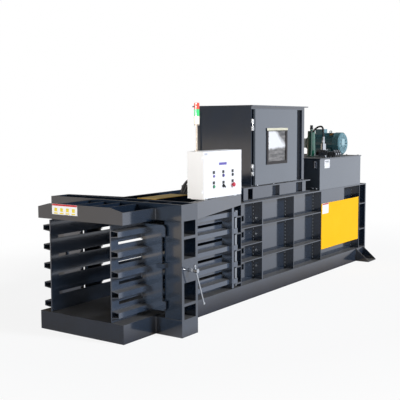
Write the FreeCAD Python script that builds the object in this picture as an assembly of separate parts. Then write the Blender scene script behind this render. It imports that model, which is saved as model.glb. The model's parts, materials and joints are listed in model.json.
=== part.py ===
"""Horizontal recycling baler with a three-sided outlet, a clamp portal and a
hydraulic power pack.

Frame: X runs along the machine from the bale outlet (-X) to the power pack
(+X), Y across it (the operator's side is -Y), Z up.  The origin is the middle
of the footprint on the floor.  All lengths are millimetres.

Every sub-part has its own function; the table at the end names the files.
"""
import FreeCAD, Part
import os
from math import cos, degrees, hypot, pi, radians, sin, tan

V = FreeCAD.Vector

# ---------------------------------------------------------------- lengths (X)
OUTLET_LENGTH = 420.0        # plinth and cap in front of the portal
PORTAL_DEPTH = 228.0         # over the two ring plates
TENSION_LENGTH = 1157.0      # swinging walls, from the portal to the press body
BAY_LENGTHS = [419.0, 675.0, 674.0, 1090.0, 215.0]   # press body, front to rear

# --------------------------------------------------------- widths and heights
CHAMBER_WIDTH = 670.0        # clear width between the chamber walls
WALL = 12.0                  # chamber wall, floor and roof plate
BODY_WIDTH = 906.0           # over the ribs of the press body
FLOOR_Z = 160.0              # top of the chamber floor
CHAMBER_HEIGHT = 812.0       # clear height from the floor to the roof plate
RIB = 9.0                    # flat-bar ribs of the press body
SLIDE_GAP = 0.3              # clearance of a sliding or resting neighbour
PIN_GAP = 0.05               # radial clearance of a pin or shaft in its bore

# ------------------------------------------------------------------- the skid
SILL_FLANGE = 90.0
CROSS_MEMBER_DEPTH = 108.0
CROSS_MEMBER = 12.0

# --------------------------------------------------------- plinth and its cap
PLINTH_WIDTH = 940.0
CAP_WIDTH = 950.0
CAP_NOSE_HEIGHT = 130.0      # heights above the roof's underside
CAP_SIDE_HEIGHT = 98.0
CAP_RIB_HEIGHT = 124.0
CAP_NOSE_DROP = 3.0          # nose plate's lower edge under the roof
CAP_NOSE_FLAT = 680.0        # level part of the nose plate's top edge
CAP_RIB_PITCH = 181.0
CAP_RIBS = 4
CAP_PLATE = 10.0

# ----------------------------------------------------------------- the portal
PORTAL_WIDTH = 1490.0
PORTAL_HEAD = 138.0          # head above the roof's underside
PORTAL_OPENING = 1140.0      # clear width between the posts
RING_PLATE = 32.0
PORTAL_WEB = 12.0
RUNG = 24.0                  # thickness of a ladder rung
RUNG_HEIGHTS = [271.0, 469.0, 644.0, 833.0]   # rung centres
HEAD_RIB_PITCH = 248.0
HEAD_RIBS = 5

# ------------------------------------------------- swinging walls of the outlet
WALL_FLOOR_GAP = 5.0
WALL_ROOF_GAP = 12.0
WALL_NOSE = 4.0              # walls start this far behind the plinth's nose
WALL_REAR_GAP = 8.0          # between a wall's end and the press body
STRAP_SLOT = 28.0            # slot height
STRAP_SLOT_START = 89.0      # solid plate in front of the slots
CHANNELS = 5
CHANNEL_FIRST = 70.0         # lowest channel's centre above the floor plate
CHANNEL_LAST = 82.0          # highest channel's centre below the roof plate
CHANNEL_DEPTH = 75.0
CHANNEL_FACE = 44.0          # height of the outer face
CHANNEL_ROOT = 60.0          # height where it meets the wall
CHANNEL_SHEET = 6.0
EAR_PLATE = 12.0
EAR_SETBACK = 22.0           # front ear plate to the portal
REAR_EAR_SETBACK = 6.0       # rear ear plate behind the portal
EAR_POST_GAP = 6.0           # ear's outer edge inside the post
EAR_LAP = 28.0               # its wider ends in front of the post
EAR_DROP = 13.0              # ear's lower edge under the lowest channel's centre
EAR_FOOT = 80.0              # height of its wider lower end
EAR_STEP_DROP = 49.0         # its wider top starts under the top channel's centre
EAR_RISE = 48.0              # and ends above it
EAR_CORNER = 20.0
KEEPER_LENGTH = 76.0         # the hook on the post, across the ear's edge
KEEPER_SEAT = 28.0           # its part on the post
KEEPER_HEIGHT = 36.0
KEEPER_RISE = 38.0           # its centre above the clamp screw
KEEPER_GAP = 8.0             # in front of the ear
HEEL_PLATE = 33.0
HEEL_SETBACK = 126.0         # heel plate's rear face to the press body
HEEL_INSET = 3.0             # heel's outer edge inside the body's ribs

# ------------------------------------------------------ hinges of those walls
HINGE_PIN_RADIUS = 18.0
HINGE_SETBACK = 67.0         # pin in front of the press body
HINGE_INSET = 27.0           # pin inside the body's ribs
PIN_HEAD_LIP = 6.0
PIN_HEAD = 8.0
KNUCKLE_HEIGHT = 50.0
KNUCKLE_RADIUS = 26.0
FORK_PLATE = 12.0

# ------------------------------------------------------------- clamp screws
CLAMP_X = 100.0              # behind the portal's front face
SCREW_RADIUS = 14.0
SCREW_HEAD_RADIUS = 18.0
SCREW_HEAD_LENGTH = 40.0
SCREW_PROUD = 72.0           # tommy bar in front of the portal's side
SCREW_TIP_RADIUS = 10.0
SCREW_WEB_GAP = 3.0          # clearance of the shank in the webs
NUT_RADIUS = 30.0
NUT_LENGTH = 40.0
PAD_RADIUS = 28.0
PAD_LENGTH = 24.0
PAD_CROWN = 2.0
PAD_FLAT = 6.0               # radius of its level middle
SCREW_TIP_LENGTH = 14.0
TOMMY_RADIUS = 6.0
TOMMY_LONG_ARM = 317.0
TOMMY_SHORT_ARM = 45.0
TOMMY_BALL = 11.0
TOMMY_TILT = 21.0            # degrees from upright

# --------------------------------------------------------- roof behind the portal
ROOF_STIFFENER = 10.0
ROOF_STIFFENER_HEIGHT = 134.0
ROOF_STIFFENER_Y = [-250.0, -60.0, 150.0]
BEAM_PLATE = 12.0
BEAM_FLANGE = 70.0
GUARD_PLATE = 4.0
GUARD_START = 45.0           # behind the portal
GUARD_LENGTH = 497.0

# ---------------------------------------------------------------- press body
BAY_RIB_HEIGHTS = [[392.0, 556.0, 730.0], [398.0, 728.0], [398.0, 728.0],
                   [398.0, 728.0], [398.0, 728.0]]
COVER_BAY = 3                # the bay behind the yellow cover
COVER_BOTTOM = 284.0
COVER_TOP = 826.0
COVER_PLATE = 4.0
COVER_FOLD = 18.0
COVER_REAR_GAP = 28.0
COVER_HEAD_LENGTH = 618.0    # plate above the cover, then the bay is open
TIE_SLOT_LENGTH = 216.0      # short tie slots in the first bay
TIE_SLOT_HEIGHT = 56.0
REAR_PLATE = 25.0
FEED_START = 381.0           # feed opening behind the press body's front
FEED_LENGTH = 1153.0
ANCHOR_RADIUS = 11.0
ANCHOR_PITCH = 120.0
ANCHOR_OUT = 107.0           # anchor holes outside the sill
FOOT_OUT = 172.0
FOOT_PLATE = 12.0
FOOT_LENGTH = 234.0
FOOT_REAR_GAP = 52.0

# ----------------------------------------------------- ram and main cylinder
RAM_STROKE = 1200.0
RAM_SIDE_GAP = 8.0
RAM_BOTTOM_GAP = 8.0
RAM_TOP_GAP = 42.0
RAM_TAIL = 20.0              # the ram is this much shorter than its stroke
RAM_FACE = 30.0
RAM_PLATE = 15.0
RAM_FACE_SETBACK = 1.0       # retracted face behind the feed opening
BLADE_DEPTH = 70.0
BLADE = 18.0
BLADE_GAP = 4.0
STRIP_WIDTH = 80.0
STRIP_INSET = 87.0           # strip's centre inside the ram's side
TOP_STRIP_LENGTH = 90.0
CYLINDER_HEIGHT = 400.0      # axis above the floor plate
BARREL_OUTER = 110.0         # radii
BARREL_BORE = 90.0
GLAND_RADIUS = 125.0
GLAND_LENGTH = 90.0
GLAND_SETBACK = 80.0         # gland behind the ram's face plate
ROD_RADIUS = 62.5
ROD_FLANGE_RADIUS = 100.0
ROD_FLANGE = 25.0
PISTON_LENGTH = 60.0
END_CAP = 23.0
END_CAP_RADIUS = 150.0
PISTON_REAR_GAP = 10.0

# --------------------------------------------------------- collar and hopper
COLLAR_HEIGHT = 136.0
COLLAR_LEDGE = 44.0          # flanges stand out from the hopper's sides
COLLAR_FLANGE = 12.0
COLLAR_START = 225.0         # in front of the feed opening
COLLAR_TAIL = 75.0           # behind the hopper
COLLAR_PANELS = [(0.0, 85.0), (178.0, 570.0), (737.0, 1114.0), (1262.0, 1345.0)]
HOPPER_SHEET = 6.0
HOPPER_HEIGHT = 833.0
HOPPER_RIM = 12.0
HOPPER_RIM_OVERHANG = 32.0
HOPPER_INSET = 15.0          # depth of the recessed end panels
HOPPER_FRAME = 48.0          # width of their frame
POCKET_START = 10.0          # hinge pocket behind the hopper's front corner
POCKET_DEPTH = 45.0
REAR_POST = 58.0             # corner post behind the rear pocket
DOOR_START = 40.0
DOOR_REAR_GAP = 221.0        # hopper's rear corner behind the door
DOOR_POCKET_GAP = 3.0        # between the door's ends and the pockets
DOOR_FOOT_GAP = 10.0         # door above the collar
DOOR_HEAD_GAP = 28.0         # door under the rim
DOOR_SHEET = 3.0
DOOR_DEPTH = 24.0
DOOR_LAP = 22.0              # door over the edge of its opening
WINDOW_START = 249.0         # behind the door's hinged edge
WINDOW_LENGTH = 397.0
WINDOW_FOOT = 227.0          # glass above the door's lower edge
WINDOW_HEAD = 220.0          # glass under the door's upper edge
WINDOW_FRAME = 22.0
WINDOW_LIP = 8.0             # frame over the glass's edge
WINDOW_FRAME_PROUD = 9.0
GLASS = 6.0
DOOR_HINGE_X = 18.0          # pin behind the hopper's front corner
DOOR_HINGE_PROUD = 12.0      # pin in front of the hopper's face
DOOR_PIN_RADIUS = 6.0
DOOR_KNUCKLE_RADIUS = 12.0
DOOR_LEAF = 6.0
DOOR_HINGE_LENGTH = 116.0
DOOR_HINGE_INSET = 102.0     # hinge's end from the door's end

# ------------------------------------------------------------- power pack
TANK_LEAD = 28.0             # tank starts in front of the cover bay
TANK_LENGTH = 1160.0
TANK_INSET = 8.0             # tank's sides inside the body's
TANK_HEIGHT = 359.0
TANK_SHEET = 6.0
TANK_LID = 12.0
TANK_LID_OVERHANG = 8.0
GAUGE_INSET = 58.0           # from the tank's near side
GAUGE_DROP = 17.0            # gauge's top under the tank's top
GAUGE_HEIGHT = 86.0
GAUGE_WIDTH = 40.0
GAUGE_DEPTH = 18.0
MOTOR_X = 1087.0             # axis behind the tank's front
MOTOR_AXIS_HEIGHT = 146.0    # above the lid
MOTOR_RADIUS = 122.0
MOTOR_FIN = 14.0
MOTOR_FINS = 24
MOTOR_FIN_WIDTH = 4.0
MOTOR_FRONT = -140.0         # fan end of the finned frame (Y)
MOTOR_LENGTH = 290.0
MOTOR_SHIELD = 14.0
STATOR_BORE = 80.0
AIR_GAP = 1.0
SHAFT_RADIUS = 19.0
ROTOR_INSET = 42.0           # rotor core inside the frame's ends
SINK = 10.0                  # a cast-on piece runs this far into its carrier
TERMINAL_WIDTH = 120.0
TERMINAL_LENGTH = 110.0
TERMINAL_HEIGHT = 62.0
TERMINAL_INSET = 160.0       # behind the fan end
EYE_INSET = 80.0
EYE_HEIGHT = 26.0            # ring's centre above the frame
EYE_RADIUS = 18.0
EYE_HOLE = 10.0
EYE_PLATE = 8.0
COWL_RADIUS = 142.0
COWL_LENGTH = 100.0
COWL_SHEET = 3.0
COWL_CHAMFER = 16.0
COWL_SLOTS = 12
COWL_SLOT = 8.0
COWL_SLOT_START = 48.0       # radii of the slots' ends
COWL_SLOT_END = 104.0
FAN_RADIUS = 112.0
FAN_BLADES = 6
FAN_REACH = 60.0             # fan disc in front of the frame
FAN_DISC = 6.0
FAN_BLADE = 4.0
FAN_BLADE_DEPTH = 34.0
FAN_HUB = 30.0
FOOT_BAR_LENGTH = 260.0
FOOT_BAR = 44.0
FOOT_BAR_HEIGHT = 16.0
FOOT_BAR_INSET = 20.0        # behind the fan end
FOOT_SPREAD = 108.0          # foot bars from the motor's axis
FOOT_STRUT = 16.0
FOOT_STRUT_HEIGHT = 84.0
BELL_LENGTH = 120.0
BELL_RADIUS = 110.0
BELL_TIP_RADIUS = 77.0
PUMP_LENGTH = 130.0
PUMP_SIDE = 120.0
TOWER_X = 534.0              # breather behind the tank's front
TOWER_Y = -61.0
TOWER_HEIGHT = 312.0
TOWER_FOOT_RADIUS = 53.0
TOWER_TOP_RADIUS = 45.0
TOWER_FLANGE_RADIUS = 62.0
TOWER_FLANGE = 10.0
NOZZLE_HEIGHT = 72.0
NOZZLE_RADIUS = 16.0
OUTLET_DROP = 34.0           # outlet's root under the tower's top
OUTLET_DIRECTION = (-0.45, -0.7, 0.55)
OUTLET_REACH = 78.0
OUTLET_RADIUS = 14.0
MANIFOLD_X = 345.0
MANIFOLD_INSET = 127.0       # from the tank's near side
MANIFOLD_SIDE = 84.0
MANIFOLD_HEIGHT = 92.0
CARTRIDGE_RADIUS = 30.0
CARTRIDGE_HEIGHT = 72.0
PORT_RADIUS = 15.0
PORT_HEIGHT = 20.0
HOSE_RADIUS = 11.0
HOSE_TRIM = 0.45             # arc's share of the shorter run beside a corner
HOSE_BEND_RUNS = 3           # short runs in one bend
HOSE_SIDES = 8
MITRED = 1                   # the sweep's way of joining runs
HOSE_LEAD = 75.0             # straight run out of the tower's outlet
HOSE_CREST = 190.0           # corners of the arch above the port
HOSE_TURN = 110.0
HOSE_SHIFT = 12.0
VALVE_PITCH = 62.0
VALVES = 3
VALVE_LEAD = 36.0            # first valve's middle behind the manifold
VALVE_WIDTH = 48.0
VALVE_LENGTH = 140.0
VALVE_HEIGHT = 62.0
COIL_LENGTH = 256.0          # over both coils
COIL_SIDE = 40.0
COIL_LIFT = 20.0
ROOF_HOSE_RADIUS = 14.0
ROOF_HOSES = 3
ROOF_HOSE_START = (60.0, -155.0)      # first hose: behind the guard, and its Y
ROOF_HOSE_STEP = (24.0, 36.0)         # from hose to hose
ROOF_HOSE_ENTRY = (150.0, 60.0)       # in from the cabinet's rear edge and bottom
ROOF_ENTRY_STEP = (20.0, 34.0)
ROOF_HOSE_RISE = (70.0, 17.0)         # first run upwards, and its step
ROOF_HOSE_BEND = (40.0, -50.0, -10.0)  # second corner from the start, Z from the entry
ROOF_HOSE_TURN = (10.0, -20.0, 12.0)  # third corner
ROOF_HOSE_TAIL = 60.0                 # straight run into the cabinet

# --------------------------------------------------- cabinet and signal tower
CABINET_X = 172.0            # cabinet behind the portal
CABINET_WIDTH = 608.0
CABINET_DEPTH = 150.0        # without the door
CABINET_LIFT = 12.0          # foot bars on the portal's beam
CABINET_HEIGHT = 408.0
CABINET_INSET = 77.0         # its open front inside the portal's side
CABINET_SHEET = 2.5
CABINET_FOOT = 40.0
CABINET_FOOT_INSET = 50.0
CABINET_DOOR = 22.0
DOOR_SEAL_GAP = 0.4
CABINET_PIN_RADIUS = 3.0
CABINET_KNUCKLE_RADIUS = 7.0
CABINET_KNUCKLE = 30.0
CABINET_HINGE_INSET = 60.0
CABINET_LEAF = 3.0
CABINET_LEAF_LENGTH = 12.0   # hinge leaf on the cabinet's side
CABINET_PIN_PROUD = 8.0      # pin in front of the cabinet's open front
DOOR_LEAF_SETBACK = 4.0      # door's hinge leaf behind its face
CONTROL_X = [155.0, 305.0, 458.0]     # columns from the cabinet's left edge
CONTROL_Z = [98.0, 189.0]             # rows above its bottom edge
BEZEL_RADIUS = 15.0
BEZEL_PROUD = 4.0
PLUNGER_RADIUS = 11.0
PLUNGER_PROUD = 10.0
PLUNGER_STEM = 26.0
PLUNGER_CHAMFER = 1.5
LAMP_PROUD = 8.0
RINGED_CONTROLS = [0, 1, 4, 5]        # those with a bezel ring
GRIP_WIDTH = 8.0
GRIP_HEIGHT = 10.0
GRIP_LONG_END = 22.0
GRIP_SHORT_END = 10.0
GRIP_ANGLE = -40.0           # degrees from upright
GRIP_SINK = 2.0
MUSHROOM_RADIUS = 20.0
MUSHROOM_PROUD = 26.0
MUSHROOM_CAP = 14.0
MUSHROOM_CHAMFER = 6.0
SIGNAL_X = 54.0              # pole behind the cabinet's left edge
SIGNAL_DEPTH = 85.0          # pole behind the cabinet's open front
SIGNAL_POLE_RADIUS = 8.0
SIGNAL_RADIUS = 22.5
SIGNAL_STEM = 232.0          # lenses above the cabinet
SIGNAL_COLLAR = 8.0
LENS_HEIGHTS = [72.0, 59.0, 55.0]     # white, green, red
SIGNAL_CAP = 3.0

# ------------------------------------------------------------ derived stations
PRESS_LENGTH = sum(BAY_LENGTHS)
TOTAL_LENGTH = OUTLET_LENGTH + PORTAL_DEPTH + TENSION_LENGTH + PRESS_LENGTH
X_NOSE = -TOTAL_LENGTH / 2
X_PORTAL = X_NOSE + OUTLET_LENGTH
X_PORTAL_REAR = X_PORTAL + PORTAL_DEPTH
X_BODY = X_PORTAL_REAR + TENSION_LENGTH
X_REAR = TOTAL_LENGTH / 2
X_BULKHEAD = X_REAR - REAR_PLATE
BAY_STARTS = [X_BODY + sum(BAY_LENGTHS[:n]) for n in range(len(BAY_LENGTHS))]
Y_INNER = CHAMBER_WIDTH / 2
Y_WALL = Y_INNER + WALL
Y_BODY = BODY_WIDTH / 2
Y_PORTAL = PORTAL_WIDTH / 2
Y_POST = PORTAL_OPENING / 2
ANCHOR_REACH = Y_BODY + ANCHOR_OUT
FOOT_REACH = Y_BODY + FOOT_OUT
FLOOR_UNDER = FLOOR_Z - WALL
ROOF_Z = FLOOR_Z + CHAMBER_HEIGHT
TOP_Z = ROOF_Z + WALL
PORTAL_HEIGHT = ROOF_Z + PORTAL_HEAD
CAP_SIDE_TOP = ROOF_Z + CAP_SIDE_HEIGHT
ROOF_STIFFENER_TOP = ROOF_Z + ROOF_STIFFENER_HEIGHT
X_FEED = X_BODY + FEED_START
X_FEED_REAR = X_FEED + FEED_LENGTH
X_HOPPER = X_FEED - HOPPER_SHEET
X_HOPPER_REAR = X_FEED_REAR + HOPPER_SHEET
Y_HOPPER = Y_INNER + HOPPER_SHEET
COLLAR_REACH = Y_HOPPER + COLLAR_LEDGE
COLLAR_TOP = TOP_Z + COLLAR_HEIGHT
HOPPER_TOP = COLLAR_TOP + HOPPER_HEIGHT
DOOR_LENGTH = X_HOPPER_REAR - X_HOPPER - DOOR_START - DOOR_REAR_GAP
DOOR_BOTTOM = COLLAR_TOP + DOOR_FOOT_GAP
DOOR_TOP = HOPPER_TOP - HOPPER_RIM - DOOR_HEAD_GAP
WINDOW_BOTTOM = DOOR_BOTTOM + WINDOW_FOOT
WINDOW_HEIGHT = DOOR_TOP - WINDOW_HEAD - WINDOW_BOTTOM
DOOR_HINGES = [DOOR_BOTTOM + DOOR_HINGE_INSET, DOOR_TOP - DOOR_HINGE_INSET - DOOR_HINGE_LENGTH]
X_WALL = X_NOSE + WALL_NOSE
X_WALL_REAR = X_BODY - WALL_REAR_GAP
X_HEEL = X_BODY - HEEL_SETBACK - HEEL_PLATE
WALL_TOP = ROOF_Z - WALL_ROOF_GAP
HEEL_REACH = Y_BODY - HEEL_INSET
HINGE_REACH = Y_BODY - HINGE_INSET
EAR_REACH = Y_POST - EAR_POST_GAP
X_EAR = X_PORTAL - EAR_SETBACK - EAR_PLATE
X_REAR_EAR = X_PORTAL_REAR + REAR_EAR_SETBACK
SCREW_REACH = Y_PORTAL + SCREW_PROUD
X_CLAMP = X_PORTAL + CLAMP_X
CHANNEL_PITCH = (CHAMBER_HEIGHT - CHANNEL_FIRST - CHANNEL_LAST) / (CHANNELS - 1)
CHANNEL_HEIGHTS = [FLOOR_Z + CHANNEL_FIRST + CHANNEL_PITCH * n for n in range(CHANNELS)]
EAR_BOTTOM = CHANNEL_HEIGHTS[0] - EAR_DROP
EAR_STEP_Z = CHANNEL_HEIGHTS[-1] - EAR_STEP_DROP
EAR_TOP = CHANNEL_HEIGHTS[-1] + EAR_RISE
CLAMP_Z = CHANNEL_HEIGHTS[CHANNELS // 2]
SLOT_HEIGHTS = [z + CHANNEL_PITCH / 2 for z in CHANNEL_HEIGHTS[:-1]]
Y_CHANNEL = Y_WALL + CHANNEL_DEPTH
X_HINGE = X_BODY - HINGE_SETBACK
X_COVER_BAY = BAY_STARTS[COVER_BAY]
X_TANK = X_COVER_BAY - TANK_LEAD
Y_TANK = Y_BODY - TANK_INSET
TANK_TOP = TOP_Z + TANK_HEIGHT
LID_Z = TANK_TOP + TANK_LID
MANIFOLD_Y = MANIFOLD_INSET - Y_TANK
CABINET_FRONT = Y_PORTAL - CABINET_INSET
CABINET_BOTTOM = PORTAL_HEIGHT + CABINET_LIFT
X_CABINET = X_PORTAL_REAR + CABINET_X
CABINET_TOP = CABINET_BOTTOM + CABINET_HEIGHT
SIGNAL_BOTTOM = CABINET_TOP + SIGNAL_STEM
Y_DOOR_FACE = CABINET_FRONT + DOOR_SEAL_GAP + CABINET_DOOR


# ----------------------------------------------------------------- solid tools
def box(x, y, z):
    """A block from three (low, high) pairs."""
    return Part.makeBox(x[1] - x[0], y[1] - y[0], z[1] - z[0], V(x[0], y[0], z[0]))


def prism(points, along):
    """The polygon through the points, pushed along a vector."""
    return Part.Face(Part.makePolygon(points + points[:1])).extrude(along)


def rod(start, end, radius):
    """A round bar between two points."""
    axis = end - start
    return Part.makeCylinder(radius, axis.Length, start, axis)


def turned(points, centre, axis):
    """The polygon through the points, turned once round an axis."""
    return Part.Face(Part.makePolygon(points + points[:1])).revolve(centre, axis, 360)


def fuse(shapes):
    """One solid from pieces welded or cast together."""
    return shapes[0].fuse(shapes[1:]).removeSplitter()


def group(shapes):
    """Separate solids that share one file."""
    return Part.makeCompound(shapes)


def far_side(shape):
    """The same piece on the other side of the machine."""
    return shape.mirror(V(0, 0, 0), V(0, 1, 0))


def both_sides(shape):
    """A near piece and its mirror image, as separate solids."""
    return group([shape, far_side(shape)])


def pattern(first, pitch, count):
    """Evenly spaced positions."""
    return [first + pitch * n for n in range(count)]


def centred(pitch, count):
    """Evenly spaced positions about zero."""
    return pattern(-pitch * (count - 1) / 2, pitch, count)


# ------------------------------------------------------------------- the frame
def base_skid():
    """Two channel sills with their webs outward, joined by cross members, and
    the two anchor feet at the rear."""
    length = (X_PORTAL_REAR, X_REAR)
    web = box(length, (-Y_BODY, -Y_BODY + WALL), (0, FLOOR_UNDER))
    flange = (-Y_BODY, -Y_BODY + SILL_FLANGE)
    low = box(length, flange, (0, WALL))
    high = box(length, flange, (FLOOR_UNDER - WALL, FLOOR_UNDER))
    sill = fuse([web, low, high])
    stations = [X_PORTAL_REAR + TENSION_LENGTH / 2] + BAY_STARTS + [X_REAR - CROSS_MEMBER]
    reach = Y_BODY - WALL
    depth = (FLOOR_UNDER - CROSS_MEMBER_DEPTH, FLOOR_UNDER)
    members = [box((x, x + CROSS_MEMBER), (-reach, reach), depth) for x in stations]
    return group([fuse([sill, far_side(sill)] + members), rear_foot(), far_side(rear_foot())])


def chamber_floor():
    """The long floor plate under the bale, from the portal to the bulkhead."""
    return box((X_PORTAL, X_BULKHEAD), (-Y_BODY, Y_BODY), (FLOOR_UNDER, FLOOR_Z))


def outlet_plinth():
    """The folded box that carries the bale as it leaves, open underneath."""
    half = PLINTH_WIDTH / 2
    outer = box((X_NOSE, X_PORTAL), (-half, half), (0, FLOOR_Z))
    inside = box((X_NOSE + WALL, X_PORTAL), (-half + WALL, half - WALL), (0, FLOOR_UNDER))
    ribs = [box((X_NOSE + WALL, X_PORTAL), (y, y + RIB), (0, FLOOR_UNDER))
            for y in centred(PLINTH_WIDTH / 3, 2)]
    return fuse([outer.cut(inside)] + ribs)


def ring_plate(x):
    """One of the portal's two thick plates, cut out for the bale passage."""
    plate = box((x, x + RING_PLATE), (-Y_PORTAL, Y_PORTAL), (0, PORTAL_HEIGHT))
    opening = box((x, x + RING_PLATE), (-Y_POST, Y_POST), (FLOOR_UNDER, ROOF_Z))
    return plate.cut(opening)


def portal_ring_plates():
    """Front and rear plates of the portal."""
    return group([ring_plate(X_PORTAL), ring_plate(X_PORTAL_REAR - RING_PLATE)])


def clamp_bore(radius):
    """A cutter along the near clamp screw."""
    return rod(V(X_CLAMP, 0, CLAMP_Z), V(X_CLAMP, -Y_PORTAL - PORTAL_WEB, CLAMP_Z), radius)


def post_webs():
    """What joins the ring plates at the near post, plate by plate: an inner
    web, a ladder of rungs, the panel for the clamp screw, the closed base."""
    between = (X_PORTAL + RING_PLATE, X_PORTAL_REAR - RING_PLATE)
    skin = (-Y_PORTAL, -Y_PORTAL + PORTAL_WEB)
    inner_web = box(between, (-Y_POST - PORTAL_WEB, -Y_POST), (FLOOR_UNDER, ROOF_Z))
    rungs = [box(between, (-Y_PORTAL, -Y_POST - PORTAL_WEB), (z - RUNG / 2, z + RUNG / 2))
             for z in RUNG_HEIGHTS]
    panel = box(between, skin, (RUNG_HEIGHTS[1] + RUNG / 2, RUNG_HEIGHTS[2] - RUNG / 2))
    side = box(between, skin, (PORTAL_WEB, FLOOR_UNDER - PORTAL_WEB))
    top = box(between, (-Y_PORTAL, -Y_BODY), (FLOOR_UNDER - PORTAL_WEB, FLOOR_UNDER))
    foot = box(between, (-Y_PORTAL, -Y_BODY), (0, PORTAL_WEB))
    shank_hole = clamp_bore(SCREW_RADIUS + SCREW_WEB_GAP)
    return [inner_web.cut(shank_hole), panel.cut(shank_hole), side, top, foot] + rungs


def head_webs():
    """The soffit, end plates and cross ribs of the portal's head, open on top."""
    between = (X_PORTAL + RING_PLATE, X_PORTAL_REAR - RING_PLATE)
    above = ROOF_Z + PORTAL_WEB
    soffit = box(between, (-Y_PORTAL, Y_PORTAL), (ROOF_Z, above))
    end = box(between, (-Y_PORTAL, -Y_PORTAL + PORTAL_WEB), (above, PORTAL_HEIGHT))
    ribs = [box(between, (y - RIB / 2, y + RIB / 2), (above, PORTAL_HEIGHT - RIB))
            for y in centred(HEAD_RIB_PITCH, HEAD_RIBS)]
    return [soffit, end, far_side(end)] + ribs


def clamp_nut():
    """The long threaded collar behind the near screw panel."""
    face = -Y_PORTAL + PORTAL_WEB
    collar = rod(V(X_CLAMP, face, CLAMP_Z), V(X_CLAMP, face + NUT_LENGTH, CLAMP_Z), NUT_RADIUS)
    return collar.cut(clamp_bore(SCREW_RADIUS + PIN_GAP))


def post_keeper():
    """The hook on the near post, in front of the ear plate's edge."""
    height = (CLAMP_Z + KEEPER_RISE - KEEPER_HEIGHT / 2, CLAMP_Z + KEEPER_RISE + KEEPER_HEIGHT / 2)
    nose = X_EAR - KEEPER_GAP - EAR_PLATE
    outer = -Y_POST - KEEPER_SEAT
    seat = box((nose, X_PORTAL), (outer, -Y_POST), height)
    return fuse([seat, box((nose, nose + EAR_PLATE), (outer, outer + KEEPER_LENGTH), height)])


def portal_webs():
    """Everything welded or screwed between the ring plates, and the keepers."""
    near = post_webs() + [clamp_nut(), post_keeper()]
    return group(near + [far_side(piece) for piece in near] + head_webs())


def outlet_cap():
    """The open tray over the outlet: chamfered nose plate, sides, soffit, ribs."""
    half = CAP_WIDTH / 2
    flat = CAP_NOSE_FLAT / 2
    under = ROOF_Z - CAP_NOSE_DROP
    crest = ROOF_Z + CAP_NOSE_HEIGHT
    nose = prism([V(X_NOSE, -half, under), V(X_NOSE, half, under),
                  V(X_NOSE, half, CAP_SIDE_TOP), V(X_NOSE, flat, crest),
                  V(X_NOSE, -flat, crest), V(X_NOSE, -half, CAP_SIDE_TOP)],
                 V(CAP_PLATE, 0, 0))
    length = (X_NOSE, X_PORTAL)
    side = box(length, (-half, -half + WALL), (under, CAP_SIDE_TOP))
    soffit = box(length, (-half, half), (ROOF_Z, ROOF_Z + WALL))
    ribs = [box(length, (y - CAP_PLATE / 2, y + CAP_PLATE / 2),
                (ROOF_Z, ROOF_Z + CAP_RIB_HEIGHT))
            for y in centred(CAP_RIB_PITCH, CAP_RIBS)]
    return fuse([nose, side, far_side(side), soffit] + ribs)


def beam_outline(inset, z):
    """The near side beam in plan: it runs in from the portal to the body."""
    lead = -Y_PORTAL + inset
    tail = -Y_BODY + inset
    return [V(X_PORTAL_REAR, lead, z), V(X_BODY, tail, z)]


def near_side_beam():
    """The channel that runs slantwise from the portal to the press body and
    carries the control cabinet."""
    front, back = beam_outline(0, ROOF_Z)
    inner_front, inner_back = beam_outline(BEAM_PLATE, ROOF_Z)
    web = prism([front, back, inner_back, inner_front], V(0, 0, PORTAL_HEIGHT - ROOF_Z))
    edge_front, edge_back = beam_outline(BEAM_FLANGE, ROOF_Z)
    foot = prism([front, back, edge_back, edge_front], V(0, 0, BEAM_PLATE))
    top = foot.translated(V(0, 0, PORTAL_HEIGHT - ROOF_Z - BEAM_PLATE))
    return fuse([web, foot, top])


def far_side_beam():
    """The far beam is a plain plate whose top edge falls to the body's roof."""
    front, back = [V(p.x, -p.y, p.z) for p in beam_outline(0, ROOF_Z)]
    high = [front, back, back + V(0, 0, TOP_Z - ROOF_Z), front + V(0, 0, PORTAL_HEIGHT - ROOF_Z)]
    return prism(high, V(0, -BEAM_PLATE, 0))


def tension_roof():
    """The tapering roof plate between portal and body, its stiffeners, and the
    beams along its two edges."""
    near_front, near_back = beam_outline(BEAM_FLANGE, ROOF_Z)
    far_front, far_back = [V(p.x, -p.y, p.z) for p in beam_outline(BEAM_PLATE, ROOF_Z)]
    plate = prism([near_front, near_back, far_back, far_front], V(0, 0, WALL))
    ribs = [box((X_PORTAL_REAR, X_BODY), (y - ROOF_STIFFENER / 2, y + ROOF_STIFFENER / 2),
                (ROOF_Z, ROOF_STIFFENER_TOP))
            for y in ROOF_STIFFENER_Y]
    return group([fuse([plate] + ribs), near_side_beam(), far_side_beam()])


def roof_guard():
    """The yellow plate on two of the roof's stiffeners."""
    x = X_PORTAL_REAR + GUARD_START
    y = [ROOF_STIFFENER_Y[0] - ROOF_STIFFENER / 2, ROOF_STIFFENER_Y[1] + ROOF_STIFFENER / 2]
    z = ROOF_STIFFENER_TOP
    return box((x, x + GUARD_LENGTH), y, (z, z + GUARD_PLATE))


# ---------------------------------------------------------------- press body
def chamber_walls():
    """The two smooth walls that the ram pushes along, with short tie slots."""
    wall = box((X_BODY, X_BULKHEAD), (-Y_WALL, -Y_INNER), (FLOOR_Z, ROOF_Z))
    start = X_BODY + RIB
    slots = [box((start, start + TIE_SLOT_LENGTH), (-Y_WALL, -Y_INNER),
                 (z - TIE_SLOT_HEIGHT / 2, z + TIE_SLOT_HEIGHT / 2))
             for z in SLOT_HEIGHTS]
    return both_sides(wall.cut(Part.makeCompound(slots)))


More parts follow.
